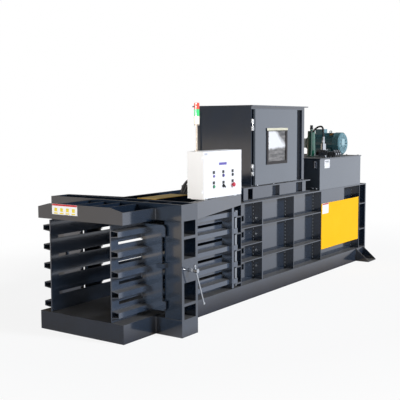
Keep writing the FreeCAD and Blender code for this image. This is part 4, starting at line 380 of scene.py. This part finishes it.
def hex_bolt(at, out, flats, head, washer=True):
    """A hexagon head with a chamfered crown on a round washer. The washer is
    1.32 times as wide as the head and 0.18 of its height thick, and the crown
    narrows to 0.82 over the head's last fifth."""
    pieces = []
    low = 0.0
    if washer:
        low = 0.18 * head
        pieces.append(turned([(0, flats * 0.66), (low, flats * 0.66)], at, out, 24))
    half = flats / 2
    crown = [(low, half), (low + head * 0.8, half), (low + head, half * 0.82)]
    pieces.append(turned(crown, at, out, 24, facets=6))
    return joined(pieces)


def bolt_rows(name, places, out, flats, head, finish):
    """A group of like bolts as one piece."""
    build(name, *joined([hex_bolt(p, out, flats, head) for p in places]), finish)


# ------------------------------------------------------------------- welds
SEAM = 3.5 * MM                              # radius of the long seams
BEAD = 3 * MM                                # radius of the short beads
STITCH = 0.020                               # length and pitch of the stitch welds
STITCH_PITCH = 0.038
UPRIGHTS = (-0.224, 0.460, 1.134, 2.224)     # welded faces of the body's uprights
SIDE_FACE = 0.347                            # outer faces of the chamber's sides
UPRIGHT_BEAD = (0.355, 0.445)                # bead across an upright's end
EAR_FACES = (-2.053, -2.041, -1.785, -1.773)  # both faces of each ear plate
WALL_FACE = 0.3475                           # outer faces of the swinging walls
EAR_STITCHES = (0.174, 0.310, 0.475, 0.640, 0.805)      # feet of the stitches up an ear
EAR_STITCH = 0.045                           # and their length
POST_BEAD = (0.572, 0.743)                   # bead across a post of the portal
PLINTH_CORNER, PLINTH_FOOT = 0.470, 0.004    # Y and lower end of the plinth's beads
CAP_CORNER, CAP_TOP = 0.475, 1.068           # Y and upper end of the cap's


def bead(start, end, radius, ripple=0.009):
    """A weld bead: a tube whose radius swells as (1 + 0.16 |sin|) along it,
    one swell for each pass of the torch, tapering at both ends."""
    start, end = np.asarray(start, float), np.asarray(end, float)
    run = np.linalg.norm(end - start)
    axis, u, v = side_frame(end - start)
    n = max(6, int(run / ripple * 4))
    s = np.linspace(0, run, n)
    taper = np.clip(np.minimum(s, run - s) / radius, 0.05, 1) ** 0.5
    r = radius * taper * (1 + 0.16 * np.abs(np.sin(pi * s / ripple)))
    t = np.linspace(0, 2 * pi, 8, endpoint=False)
    ring = np.outer(np.cos(t), u) + np.outer(np.sin(t), v)
    points = start + s[:, None, None] * axis + r[:, None, None] * ring
    faces = grid_faces(n, 8, True)
    faces += [list(range(8))[::-1], list(range(8 * n - 8, 8 * n))]
    return points.reshape(-1, 3), faces


def stitches(start, end, radius, length, pitch):
    """Stitch welds of one length at one pitch along a line."""
    start, end = np.asarray(start, float), np.asarray(end, float)
    run = np.linalg.norm(end - start)
    way = (end - start) / run
    return [bead(start + way * s, start + way * min(s + length, run), radius)
            for s in np.arange(pitch / 2, run - length / 2, pitch)]


def side_welds():
    """Stitch welds of the side panels to the uprights, and fillets where the
    uprights stand on the floor plate and meet the roof."""
    for side, word in SIDES:
        face, inner, outer = side * SIDE_FACE, side * UPRIGHT_BEAD[0], side * UPRIGHT_BEAD[1]
        seams = []
        for x in UPRIGHTS:
            seams += stitches((x, face, FLOOR_TOP), (x, face, ROOF_UNDER), SEAM, STITCH, STITCH_PITCH)
            seams += [bead((x, inner, z), (x, outer, z), BEAD) for z in (FLOOR_TOP, ROOF_UNDER)]
        build(word + "_side_welds", *joined(seams), "bright_steel")


def wall_welds():
    """Stitches along both sides of each ear plate on the swinging walls."""
    for side, word in SIDES:
        face = side * WALL_FACE
        seams = [bead((x, face, z), (x, face, z + EAR_STITCH), BEAD)
                 for x in EAR_FACES for z in EAR_STITCHES]
        build(word + "_wall_welds", *joined(seams), "wall_paint", word + "_wall")


def portal_welds():
    """Beads on the portal's front: across each post where it stands on the base
    and meets the head, and up the corners of the plinth and the cap."""
    seams = []
    for side, _ in SIDES:
        inner, outer = side * POST_BEAD[0], side * POST_BEAD[1]
        plinth, cap = side * PLINTH_CORNER, side * CAP_CORNER
        runs = [((inner, BASE_TOP), (outer, BASE_TOP)), ((inner, ROOF_UNDER), (outer, ROOF_UNDER)),
                ((plinth, PLINTH_FOOT), (plinth, BASE_TOP)), ((cap, ROOF_UNDER), (cap, CAP_TOP))]
        seams += [bead((PORTAL_FACE, *start), (PORTAL_FACE, *end), SEAM) for start, end in runs]
    build("portal_welds", *joined(seams), "frame_paint")


# --------------------------------------------------- bolts and screws of the body
JOINT_FACES = (-0.224, -0.206)               # the doubled upright's front and back
JOINT_Y = 0.386
JOINT_BOLTS = (0.300, 0.466, 0.635, 0.800)   # their heights
COLLAR_Y = 0.363
COLLAR_BOLTS = (-0.16, 0.17, 0.50, 0.83)     # places along the flanges
THREAD_START = (-1.919, 0.770, 0.560)        # far clamp screw's; the near one mirrors it
THREAD_LENGTH = 0.027
THREAD_PITCH = 6 * MM
THREAD_RADII = (13.9 * MM, 15.2 * MM)


def side_bolts():
    """The bolts that hold the front frame to the body through its doubled
    upright, with their nuts behind, and those of the collar's two flanges."""
    joints, nuts = [], []
    for side, _ in SIDES:
        for z in JOINT_BOLTS:
            front, back = [(x, side * JOINT_Y, z) for x in JOINT_FACES]
            joints.append(hex_bolt(front, (-1, 0, 0), WIDE_HEAD, 12 * MM))
            nuts.append(hex_bolt(back, (1, 0, 0), WIDE_HEAD, 16 * MM))
    build("joint_bolts", *joined(joints + nuts), "bright_steel")
    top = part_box("hopper_collar")[1].z
    rows = [(x, side * COLLAR_Y, top) for side, _ in SIDES for x in COLLAR_BOLTS]
    bolt_rows("collar_bolts", rows, UP, WIDE_HEAD, 10 * MM, "frame_paint")


def thread(base, axis, length, inner, outer, pitch):
    """A right-hand screw thread: at distance s along the axis and angle t round
    it the radius rises from inner to outer as a triangle wave of
    s/pitch - t/(2 pi), so that the ridge climbs one pitch a turn."""
    axis, u, v = side_frame(axis)
    corners = 24
    t = np.linspace(0, 2 * pi, corners, endpoint=False)
    s = np.linspace(0, length, int(length / pitch * 8) + 1)
    phase = (s[:, None] / pitch - t[None, :] / (2 * pi)) % 1.0
    fade = np.clip(np.minimum(s, length - s) / pitch, 0, 1)[:, None]
    r = inner + (outer - inner) * (1 - np.abs(2 * phase - 1)) * fade
    ring = np.cos(t)[:, None] * u + np.sin(t)[:, None] * v
    points = np.asarray(base, float) + s[:, None, None] * axis + r[:, :, None] * ring
    count = len(s) * corners
    faces = grid_faces(len(s), corners, True)
    faces += [list(range(corners))[::-1], list(range(count - corners, count))]
    return points.reshape(-1, 3), faces


def screw_threads():
    """The threads of both clamp screws between the post and the head."""
    x, y, z = THREAD_START
    for side, word in SIDES:
        turns = thread((x, side * y, z), (0, side, 0), THREAD_LENGTH, *THREAD_RADII, THREAD_PITCH)
        build(word + "_screw_thread", *turns, "plated_steel", word + "_screw")


# ------------------------------------------------------- hoses and their ends
LID_HOSE = 22 * MM                           # the hoses' diameters
ROOF_HOSE = 28 * MM
ROOF_LENGTHS = (0.503, 0.569, 0.634)
LID_ROUTE = ((1.6048, -0.1157, 1.6760), (1.5710, -0.1684, 1.7174), (1.451, -0.306, 1.729),
             (1.451, -0.318, 1.649), (1.451, -0.318, 1.539))
LID_START_WAY = (-0.4511, -0.7018, 0.5514)
ROOF_PORT, ROOF_STEP = (-1.189, -0.155, 0.984), (0.024, 0.036, 0)     # first, and way to the next
CABINET_PORT, CABINET_STEP = (-1.161, -0.518, 1.182), (0.020, 0, 0.034)
LID_SLEEVE = (13.5 * MM, 0.044)              # radius and length of the crimped sleeves
LID_START_SLEEVE = (13.5 * MM, 0.034)
ROOF_SLEEVE = (17 * MM, 0.040)
LID_NUT = (0.030, 0.020)                     # width over flats and height of the nuts
ROOF_NUT = (0.040, 0.016)
GLAND_NUT = (0.030, 0.012)
NUT_LAP = 1 * MM                             # of a sleeve into its nut


def hose(name, route, diameter):
    """A rubber hose: one smooth line drawn by its route's points, swept as a
    round tube and closed at both ends."""
    data = bpy.data.curves.new(name, "CURVE")
    data.dimensions = "3D"
    data.bevel_depth = diameter / 2
    data.bevel_resolution = 6
    data.use_fill_caps = True
    line = data.splines.new("NURBS")
    line.points.add(len(route) - 1)
    for point, at in zip(line.points, route):
        point.co = (*at, 1.0)
    line.order_u = 3
    line.use_endpoint_u = True
    line.resolution_u = 24
    data.materials.append(MATERIALS["hose_rubber"])
    made = bpy.data.objects.new(name, data)
    bpy.context.scene.collection.objects.link(made)
    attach(made, "frame")
    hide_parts("hydraulic_hoses")


def ferrule(at, out, radius, length):
    """A crimped sleeve: eight pressed flats at 0.9 of its radius between two round
    lips, each 0.14 of its length."""
    round_lip = turned([(0, radius), (0.14 * length, radius)], at, out, 24)
    crimp = turned([(0.14 * length, radius * 0.90), (0.86 * length, radius * 0.90)], at, out, 32, facets=8)
    end = turned([(0.86 * length, radius), (length, radius * 0.93)], at, out, 24)
    return [round_lip, crimp, end]


def lid_hose():
    """The arched hose from the breather's shoulder to the manifold's port."""
    hose("lid_hose", LID_ROUTE, LID_HOSE)
    port = np.array(LID_ROUTE[-1])
    ends = ferrule(LID_ROUTE[0], LID_START_WAY, *LID_START_SLEEVE)
    ends.append(hex_bolt(port, UP, *LID_NUT, washer=False))
    ends += ferrule(port + (0, 0, LID_NUT[1] - NUT_LAP), UP, *LID_SLEEVE)
    build("lid_hose_ends", *joined(ends), "plated_steel")


def roof_route(n):
    """The route of hose n from the roof to the cabinet's back: straight up, a
    bend beside the cabinet, and straight in at its port."""
    start = np.array(ROOF_PORT) + n * np.array(ROOF_STEP)
    entry = np.array(CABINET_PORT) + n * np.array(CABINET_STEP)
    lift = start + (0, 0, 0.070 + 0.017 * n)
    bend = (start[0] + 0.040, start[1] - 0.050, entry[2] - 0.010)
    over = (entry[0] + 0.010, (start[1] + entry[1]) / 2 - 0.020, entry[2] + 0.012)
    before = entry + (0, 0.060, 0)
    return [tuple(start), tuple(lift), bend, over, tuple(before), tuple(entry)]


def roof_hoses():
    """The bundle behind the cabinet, with a steel end on the roof and a black
    gland where each goes in."""
    ends, glands = [], []
    for n, length in enumerate(ROOF_LENGTHS):
        route = roof_route(n)
        hose("roof_hose_%d" % n, route, ROOF_HOSE)
        ends.append(hex_bolt(route[0], UP, *ROOF_NUT, washer=False))
        ends += ferrule(np.array(route[0]) + (0, 0, ROOF_NUT[1] - NUT_LAP), UP, *ROOF_SLEEVE)
        glands.append(hex_bolt(route[-1], (0, 1, 0), *GLAND_NUT, washer=False))
        glands.append(turned([(0.010, 0.0155), (0.022, 0.0150)], route[-1], (0, 1, 0), 24))
    build("roof_hose_ends", *joined(ends), "plated_steel")
    build("cabinet_glands", *joined(glands), "bezel_plastic")


# ------------------------------------------------------------ window and power pack
PANE_STRIP = 2 * MM                          # thickness of the window's strip
STRIP_LIP = 24 * MM
LID_INSET = 24 * MM                          # lid's bolts from its edge
LID_CORNER = 50 * MM                         # and the first and last from its corners
LID_BOLTS_ALONG = 9
LID_BOLTS_ACROSS = (-0.26, -0.08, 0.10, 0.28)
TANK_PLUGS = ((-0.351, 1.004), (-0.400, 1.004))         # Y and Z on the tank's end
VALVES_X = (1.529, 1.591, 1.653)
COIL_TOP = 1.415
COIL_OUT = 104 * MM                          # a coil's plug from the valve's middle
MOTOR_FEET = (-0.090, 0.110)                 # Y of the foot bolts
FOOT_OUT = 0.108                             # and their distance from the motor's axis
FOOT_TOP = 1.371
PLATE_LEAN = radians(28)                     # way out of the motor's plate, from straight up
PLATE_OUT = 135.5 * MM                       # its distance from the axis
PLATE_Y = -0.098
COWL_SCREWS_OUT = 141.5 * MM
COWL_SCREWS_Y = -0.152
BREATHER_X = 1.640
BREATHER_FLANGE_TOP = 1.365
BREATHER_BOLTS = 56 * MM                     # radius of their circle


def folded(profile, start, end):
    """A folded strip: a closed profile of (y, z) points carried along X."""
    profile = np.array(profile, float)
    n = len(profile)
    points = np.array([np.column_stack([np.full(n, x), profile]) for x in (start, end)])
    faces = [[i, (i + 1) % n, n + (i + 1) % n, n + i] for i in range(n)]
    return points.reshape(-1, 3), faces + [list(range(n))[::-1], list(range(n, 2 * n))]


def window_strip():
    """The pale sealing strip that folds over the window's top member."""
    low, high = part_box("window_frame")
    front, back = low.y, high.y
    top = high.z
    profile = [(front - PANE_STRIP, top - STRIP_LIP), (front, top - STRIP_LIP), (front, top), (back, top),
               (back, top + PANE_STRIP), (front - PANE_STRIP, top + PANE_STRIP)]
    strip = folded(profile, low.x - 3 * MM, high.x + 3 * MM)
    build("window_strip", *strip, CREAM_STRIP, "hopper_door_leaf")


def tank_fittings():
    """Bolts round the tank's lid, the gauge's two bolts and sight strip, and
    the plugs at the foot of the tank's end."""
    low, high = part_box("tank_lid")
    along = np.linspace(low.x + LID_CORNER, high.x - LID_CORNER, LID_BOLTS_ALONG)
    rows = [(x, side * (high.y - LID_INSET), high.z) for side, _ in SIDES for x in along]
    rows += [(x, y, high.z) for x in (low.x + LID_INSET, high.x - LID_INSET) for y in LID_BOLTS_ACROSS]
    bolt_rows("lid_bolts", rows, UP, MIDDLE_HEAD, 7 * MM, "frame_paint")
    low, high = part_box("level_gauge")
    face, middle, centre = low.x, (low.y + high.y) / 2, (low.z + high.z) / 2
    bolts = [(face, middle, low.z + 11 * MM), (face, middle, high.z - 11 * MM)]
    bolt_rows("gauge_bolts", bolts, (-1, 0, 0), MIDDLE_HEAD, 7 * MM, "plated_steel")
    strip = panel((face, middle, centre), *FACE_X, 10 * MM, 40 * MM, 1 * MM, 2 * MM)
    build("gauge_strip", *strip, PALE_TAPE)
    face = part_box("oil_tank")[0].x
    plugs = [hex_bolt((face, *place), (-1, 0, 0), WIDE_HEAD, 14 * MM) for place in TANK_PLUGS]
    build("tank_plugs", *joined(plugs), "plated_steel")


def valve_fittings():
    """The plug connector with its screw on each coil, the nut on each coil's
    end, and the four socket screws in each valve's top."""
    plugs, nuts, screws = [], [], []
    low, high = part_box("solenoid_valves")
    middle = (low.y + high.y) / 2
    for x in VALVES_X:
        for side, end in ((-1, low.y), (1, high.y)):
            y = middle + side * COIL_OUT
            plugs.append(panel((x, y, COIL_TOP), (1, 0, 0), (0, 1, 0), 26 * MM, 26 * MM, 22 * MM, 3 * MM))
            screws.append(turned([(0, 4 * MM), (3 * MM, 4 * MM)], (x, y, COIL_TOP + 22 * MM), UP, 12))
            nut = [(0, 11 * MM), (7 * MM, 11 * MM), (9 * MM, 9 * MM)]
            nuts.append(turned(nut, (x, end, COIL_TOP - 20 * MM), (0, side, 0), 24))
        corners = [(x + dx, middle + dy, high.z) for dx in (-0.016, 0.016) for dy in (-0.050, 0.050)]
        screws += [turned([(0, 4.5 * MM), (5 * MM, 4.5 * MM)], at, UP, 12) for at in corners]
    build("coil_plugs", *joined(plugs), "grey_plastic")
    build("coil_nuts", *joined(nuts), "plated_steel")
    build("valve_screws", *joined(screws), "plated_steel")


def motor_fittings():
    """The pale plate on the cowl's end, the brass plate on the motor's flank,
    the bolts of its feet and the small screws of the cowl."""
    low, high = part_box("motor_fan_cowl")
    x, z = (low.x + high.x) / 2, (low.z + high.z) / 2
    plate = panel((x - 9 * MM, low.y, z + 20 * MM), *FACE_Y, 84 * MM, 84 * MM, 1 * MM, 8 * MM)
    build("cowl_plate", *plate, COWL_PLATE)
    out = np.array([-sin(PLATE_LEAN), 0, cos(PLATE_LEAN)])
    up = (cos(PLATE_LEAN), 0, sin(PLATE_LEAN))
    at = np.array([x, PLATE_Y, z]) + out * PLATE_OUT
    build("motor_plate", *panel(at, up, (0, 1, 0), 60 * MM, 40 * MM, 1 * MM, 2 * MM), BRASS_PLATE)
    feet = [(x + side * FOOT_OUT, y, FOOT_TOP) for side, _ in SIDES for y in MOTOR_FEET]
    bolt_rows("motor_foot_bolts", feet, UP, WIDE_HEAD, 10 * MM, "plated_steel")
    screws = []
    for angle in np.radians([45, 135, 225, 315]):
        out = np.array([cos(angle), 0, sin(angle)])
        at = np.array([x, COWL_SCREWS_Y, z]) + out * COWL_SCREWS_OUT
        screws.append(turned([(0, 6 * MM), (3 * MM, 6 * MM)], at, out, 12))
    build("cowl_screws", *joined(screws), "plated_steel")


def breather_fittings():
    """The black cap on the breather's nozzle, and its flange's bolts."""
    low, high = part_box("breather_tower")
    y = (low.y + high.y) / 2
    profile = [(0, 0.0175), (0.004, 0.0205), (0.016, 0.0205), (0.020, 0.0175),
               (0.046, 0.0175), (0.050, 0.015)]
    build("breather_cap", *turned(profile, (BREATHER_X, y, high.z - 0.050), UP, 24), "valve_plastic")
    t = np.linspace(0, 2 * pi, 6, endpoint=False) + 0.3
    ring = np.column_stack([BREATHER_X + BREATHER_BOLTS * np.cos(t), y + BREATHER_BOLTS * np.sin(t),
                            np.full(6, BREATHER_FLANGE_TOP)])
    bolt_rows("breather_bolts", ring, UP, SMALL_HEAD, 7 * MM, "plated_steel")


def signal_rings():
    """The clamping rings between the signal's lenses."""
    rings = []
    for node in ("signal_lens_white", "signal_lens_green", "signal_lens_red"):
        low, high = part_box(node)
        at = ((low.x + high.x) / 2, (low.y + high.y) / 2, low.z - 1 * MM)
        rings.append(turned([(0, 22.9 * MM), (3 * MM, 22.9 * MM)], at, UP, 24))
    build("signal_rings", *joined(rings), "grey_plastic")


# -------------------------------------------------------------- the markings
FILM = 0.4 * MM
CABINET_PLATE_AT = (-1.320, 1.416)           # X and Z on the cabinet's door
CORNER_MARK_AT = (-1.585, 1.507)
TAG_RISE = 33 * MM                           # a tag above its control's centre
CONTROLS = ("start_button", "mode_selector", "emergency_stop", "power_lamp", "reset_button",
            "stop_button")


def marking(name, centre, face, width, height, fields, material):
    """A printed plate: a rounded base with smaller fields of colour on it.
    A field is (shift across, shift up, width, height, material)."""
    build(name, *panel(centre, *face, width, height, FILM, 3 * MM), material)
    across, up = np.asarray(face, float)
    front = np.asarray(centre) + np.cross(across, up) * FILM
    for n, (right, rise, w, h, ink) in enumerate(fields):
        field = panel(front + right * across + rise * up, *face, w, h, FILM / 2, 1 * MM)
        build(name + "_field_%d" % n, *field, ink)


def outlet_marking():
    """On the cap's nose: white plate, red band, four yellow squares and bars."""
    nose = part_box("outlet_cap")[0].x
    width, height, pitch = 292 * MM, 88 * MM, 68 * MM
    fields = [(0, height / 2 - 8 * MM, width - 4 * MM, 14 * MM, PRINT_RED)]
    for n in range(4):
        across = (n - 1.5) * pitch
        fields.append((across, -4 * MM, 32 * MM, 30 * MM, PRINT_YELLOW))
        fields.append((across, -34 * MM, 44 * MM, 10 * MM, PRINT_YELLOW))
    marking("outlet_marking", (nose, 0.160, 1.057), FACE_X, width, height, fields, PRINT_WHITE)


def cover_marking():
    """On the yellow cover: a white plate under a red band."""
    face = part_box("rear_side_cover")[0].y
    fields = [(0, 52 * MM, 160 * MM, 14 * MM, PRINT_RED)]
    marking("cover_marking", (1.242, face, 0.764), FACE_Y, 164 * MM, 122 * MM, fields, PRINT_WHITE)


def tank_marking():
    """On the tank: a white plate with two grey rules."""
    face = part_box("oil_tank")[0].y
    fields = [(0, 30 * MM, 110 * MM, 8 * MM, PRINT_GREY), (0, 12 * MM, 110 * MM, 4 * MM, PRINT_GREY)]
    marking("tank_marking", (1.296, face, 1.287), FACE_Y, 140 * MM, 100 * MM, fields, PRINT_WHITE)


def cabinet_markings():
    """On the cabinet's door: a violet plate, a pale mark in its corner and a
    small dark tag over each control."""
    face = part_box("cabinet_door")[0].y
    for name, (x, z), size, ink in (("cabinet_plate", CABINET_PLATE_AT, (122 * MM, 22 * MM), PRINT_VIOLET),
                                    ("cabinet_corner_mark", CORNER_MARK_AT, (46 * MM, 18 * MM), PALE_TAPE)):
        build(name, *panel((x, face, z), *FACE_Y, *size, FILM, 2 * MM), ink, "cabinet_door_leaf")
    tags = []
    for node in CONTROLS:
        low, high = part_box(node)
        at = ((low.x + high.x) / 2, face, (low.z + high.z) / 2 + TAG_RISE)
        tags.append(panel(at, *FACE_Y, 34 * MM, 26 * MM, 1 * MM, 2 * MM))
    build("control_tags", *joined(tags), MATERIALS["bezel_plastic"], "cabinet_door_leaf")


# ------------------------------------------------------------ camera and stage
CAMERA_AT = (-7.0986, -4.4829, 1.780)
CAMERA_YAW = radians(34.97)                  # from +X towards +Y
CAMERA_PITCH = radians(5.69)                 # downwards
CAMERA_ROLL = radians(0.24)
FOCAL_PIXELS = 779.2
FRAME_PIXELS = 400
WORLD_FILL = 0.18                            # light of the surroundings on matt surfaces
GLOSS_SHADE = 0.15                           # what gloss mirrors from the far side
GLOSS_TINT = "#F2F6FF"
SHADE_TINT = "#FFEEDA"
WORLD_EDGE = (-0.3, 0.05)                    # Y of a way over which the studio turns dim
FLOOR_NEAR = (-4.5, -0.6)                    # Y over which the floor dims towards the machine
FLOOR_NEAR_LIGHT = (1.0, 0.66)               # what gloss mirrors from it there
FLOOR_EDGE = (-0.9, -0.45)                   # Y over which it turns to the far side
FLOOR_SHADE = (0.18, 0.62)                   # what gloss mirrors there, near and farther out
FLOOR_GLOW = 0.88                            # share of the backdrop in the floor near the machine
FLOOR_SPREAD = (3.2, 2.2, 1.0)               # half lengths of the near floor's oval
FLOOR_HALF = 60.0
LAMPS = (("key", 3.4, (0.25, -0.9, 0.42), 12, "#F0F5FF"),     # name, strength, way to it,
         ("front", 2.5, (-1.0, 0.12, 0.02), 6, "#FFFBF6"))    # width in degrees, colour


def place_camera():
    """The photograph's camera: right, up and backward axes from its angles."""
    cy, sy = cos(CAMERA_YAW), sin(CAMERA_YAW)
    cp, sp = cos(CAMERA_PITCH), sin(CAMERA_PITCH)
    ahead = np.array([cy * cp, sy * cp, -sp])
    right = np.array([sy, -cy, 0])
    down = np.cross(ahead, right)
    cr, sr = cos(CAMERA_ROLL), sin(CAMERA_ROLL)
    right, down = cr * right + sr * down, -sr * right + cr * down
    data = bpy.data.cameras.new("camera")
    data.sensor_width = 36.0
    data.lens = FOCAL_PIXELS / FRAME_PIXELS * data.sensor_width
    data.clip_end = 200
    camera = bpy.data.objects.new("camera", data)
    turn = np.stack([right, -down, -ahead], 1)
    camera.matrix_world = Matrix.Translation(CAMERA_AT) @ Matrix(turn.tolist()).to_4x4()
    bpy.context.scene.collection.objects.link(camera)
    bpy.context.scene.camera = camera


def hang_lamp(name, energy, way_to, angle, colour):
    """A distant soft lamp; way_to points from the machine to it."""
    sun = bpy.data.lights.new(name, "SUN")
    sun.energy = energy
    sun.color = linear(colour)[:3]
    sun.angle = radians(angle)
    lamp = bpy.data.objects.new(name, sun)
    axis, u, v = side_frame(way_to)
    lamp.matrix_world = Matrix(np.stack([u, v, axis], 1).tolist()).to_4x4()
    bpy.context.scene.collection.objects.link(lamp)


def studio():
    """A white backdrop and a plain fill; to gloss the studio is bright on the
    operator's side and dim on the far side."""
    world = bpy.data.worlds.new("studio")
    world.use_nodes = True
    tree = world.node_tree
    tree.nodes.clear()
    rays = add(tree, "LightPath", {})
    glossy = rays["Is Glossy Ray"]
    across = add(tree, "SeparateXYZ", {"Vector": add(tree, "TexCoord", {})["Generated"]})[1]
    start, end = WORLD_EDGE
    far_side = add(tree, "MapRange", {"Value": across, "From Min": start, "From Max": end})[0]
    mirrored = add(tree, "Mix", {0: far_side, 2: 1.0, 3: GLOSS_SHADE})[0]
    strength = add(tree, "Mix", {0: glossy, 2: WORLD_FILL, 3: mirrored})[0]
    for ray in ("Is Transmission Ray", "Is Camera Ray"):
        strength = add(tree, "Mix", {0: rays[ray], 2: strength, 3: 1.0})[0]
    cast = add(tree, "Mix", {0: far_side, 6: GLOSS_TINT, 7: SHADE_TINT}, data_type="RGBA")[2]
    colour = add(tree, "Mix", {0: glossy, 6: "#FFFFFF", 7: cast}, data_type="RGBA")[2]
    sky = add(tree, "Background", {"Strength": strength, "Color": colour})[0]
    add(tree, "OutputWorld", {"Surface": sky})
    bpy.context.scene.world = world


def lay_floor():
    """A matt white floor that keeps a faint shadow near the machine and turns
    into the backdrop farther out; gloss sees it bright on the operator's side."""
    made, tree = new_material("pale_floor")
    rays = add(tree, "LightPath", {})
    glossy = rays["Is Glossy Ray"]
    place = add(tree, "TexCoord", {})["Object"]
    inward = add(tree, "Mapping", {"Vector": place, "Scale": tuple(1 / r for r in FLOOR_SPREAD)})[0]
    distance = add(tree, "VectorMath", {0: inward}, operation="LENGTH")["Value"]
    outward = add(tree, "MapRange", {"Value": distance, "From Min": 1.0, "From Max": 2.0})[0]
    across = add(tree, "SeparateXYZ", {"Vector": place})[1]
    start, end = FLOOR_EDGE
    far_side = add(tree, "MapRange", {"Value": across, "From Min": start, "From Max": end})[0]
    start, end = FLOOR_NEAR
    inner = add(tree, "MapRange", {"Value": across, "From Min": start, "From Max": end})[0]
    near_light = add(tree, "Mix", {0: inner, 2: FLOOR_NEAR_LIGHT[0], 3: FLOOR_NEAR_LIGHT[1]})[0]
    far_light = add(tree, "Mix", {0: outward, 2: FLOOR_SHADE[0], 3: FLOOR_SHADE[1]})[0]
    mirrored = add(tree, "Mix", {0: far_side, 2: near_light, 3: far_light})[0]
    cast = add(tree, "Mix", {0: far_side, 6: GLOSS_TINT, 7: SHADE_TINT}, data_type="RGBA")[2]
    glow = add(tree, "Emission", {
        "Strength": add(tree, "Mix", {0: glossy, 2: 1.0, 3: mirrored})[0],
        "Color": add(tree, "Mix", {0: glossy, 6: "#FFFFFF", 7: cast}, data_type="RGBA")[2]})[0]
    matt = add(tree, "BsdfDiffuse", {"Color": "#F4F4F4"})[0]
    backdrop = add(tree, "Mix", {0: outward, 2: FLOOR_GLOW, 3: 1.0})[0]
    share = add(tree, "Mix", {0: rays["Is Camera Ray"], 2: glossy, 3: backdrop})[0]
    add(tree, "OutputMaterial", {"Surface": add(tree, "MixShader", {0: share, 1: matt, 2: glow})[0]})
    mesh = bpy.data.meshes.new("floor")
    mesh.from_pydata([(x * FLOOR_HALF, y * FLOOR_HALF, 0) for x, y in ((-1, -1), (1, -1), (1, 1), (-1, 1))],
                     [], [(0, 1, 2, 3)])
    mesh.materials.append(made)
    floor = bpy.data.objects.new("floor", mesh)
    bpy.context.scene.collection.objects.link(floor)


paint_frame_nodes()
place_camera()
lid_hose()
roof_hoses()
studio()
lay_floor()
for lamp in LAMPS:
    hang_lamp(*lamp)
outlet_marking()
cover_marking()
tank_marking()
cabinet_markings()
side_welds()
wall_welds()
portal_welds()
side_bolts()
screw_threads()
window_strip()
tank_fittings()
valve_fittings()
motor_fittings()
breather_fittings()
signal_rings()

scene = bpy.context.scene
scene.view_settings.view_transform = "Standard"
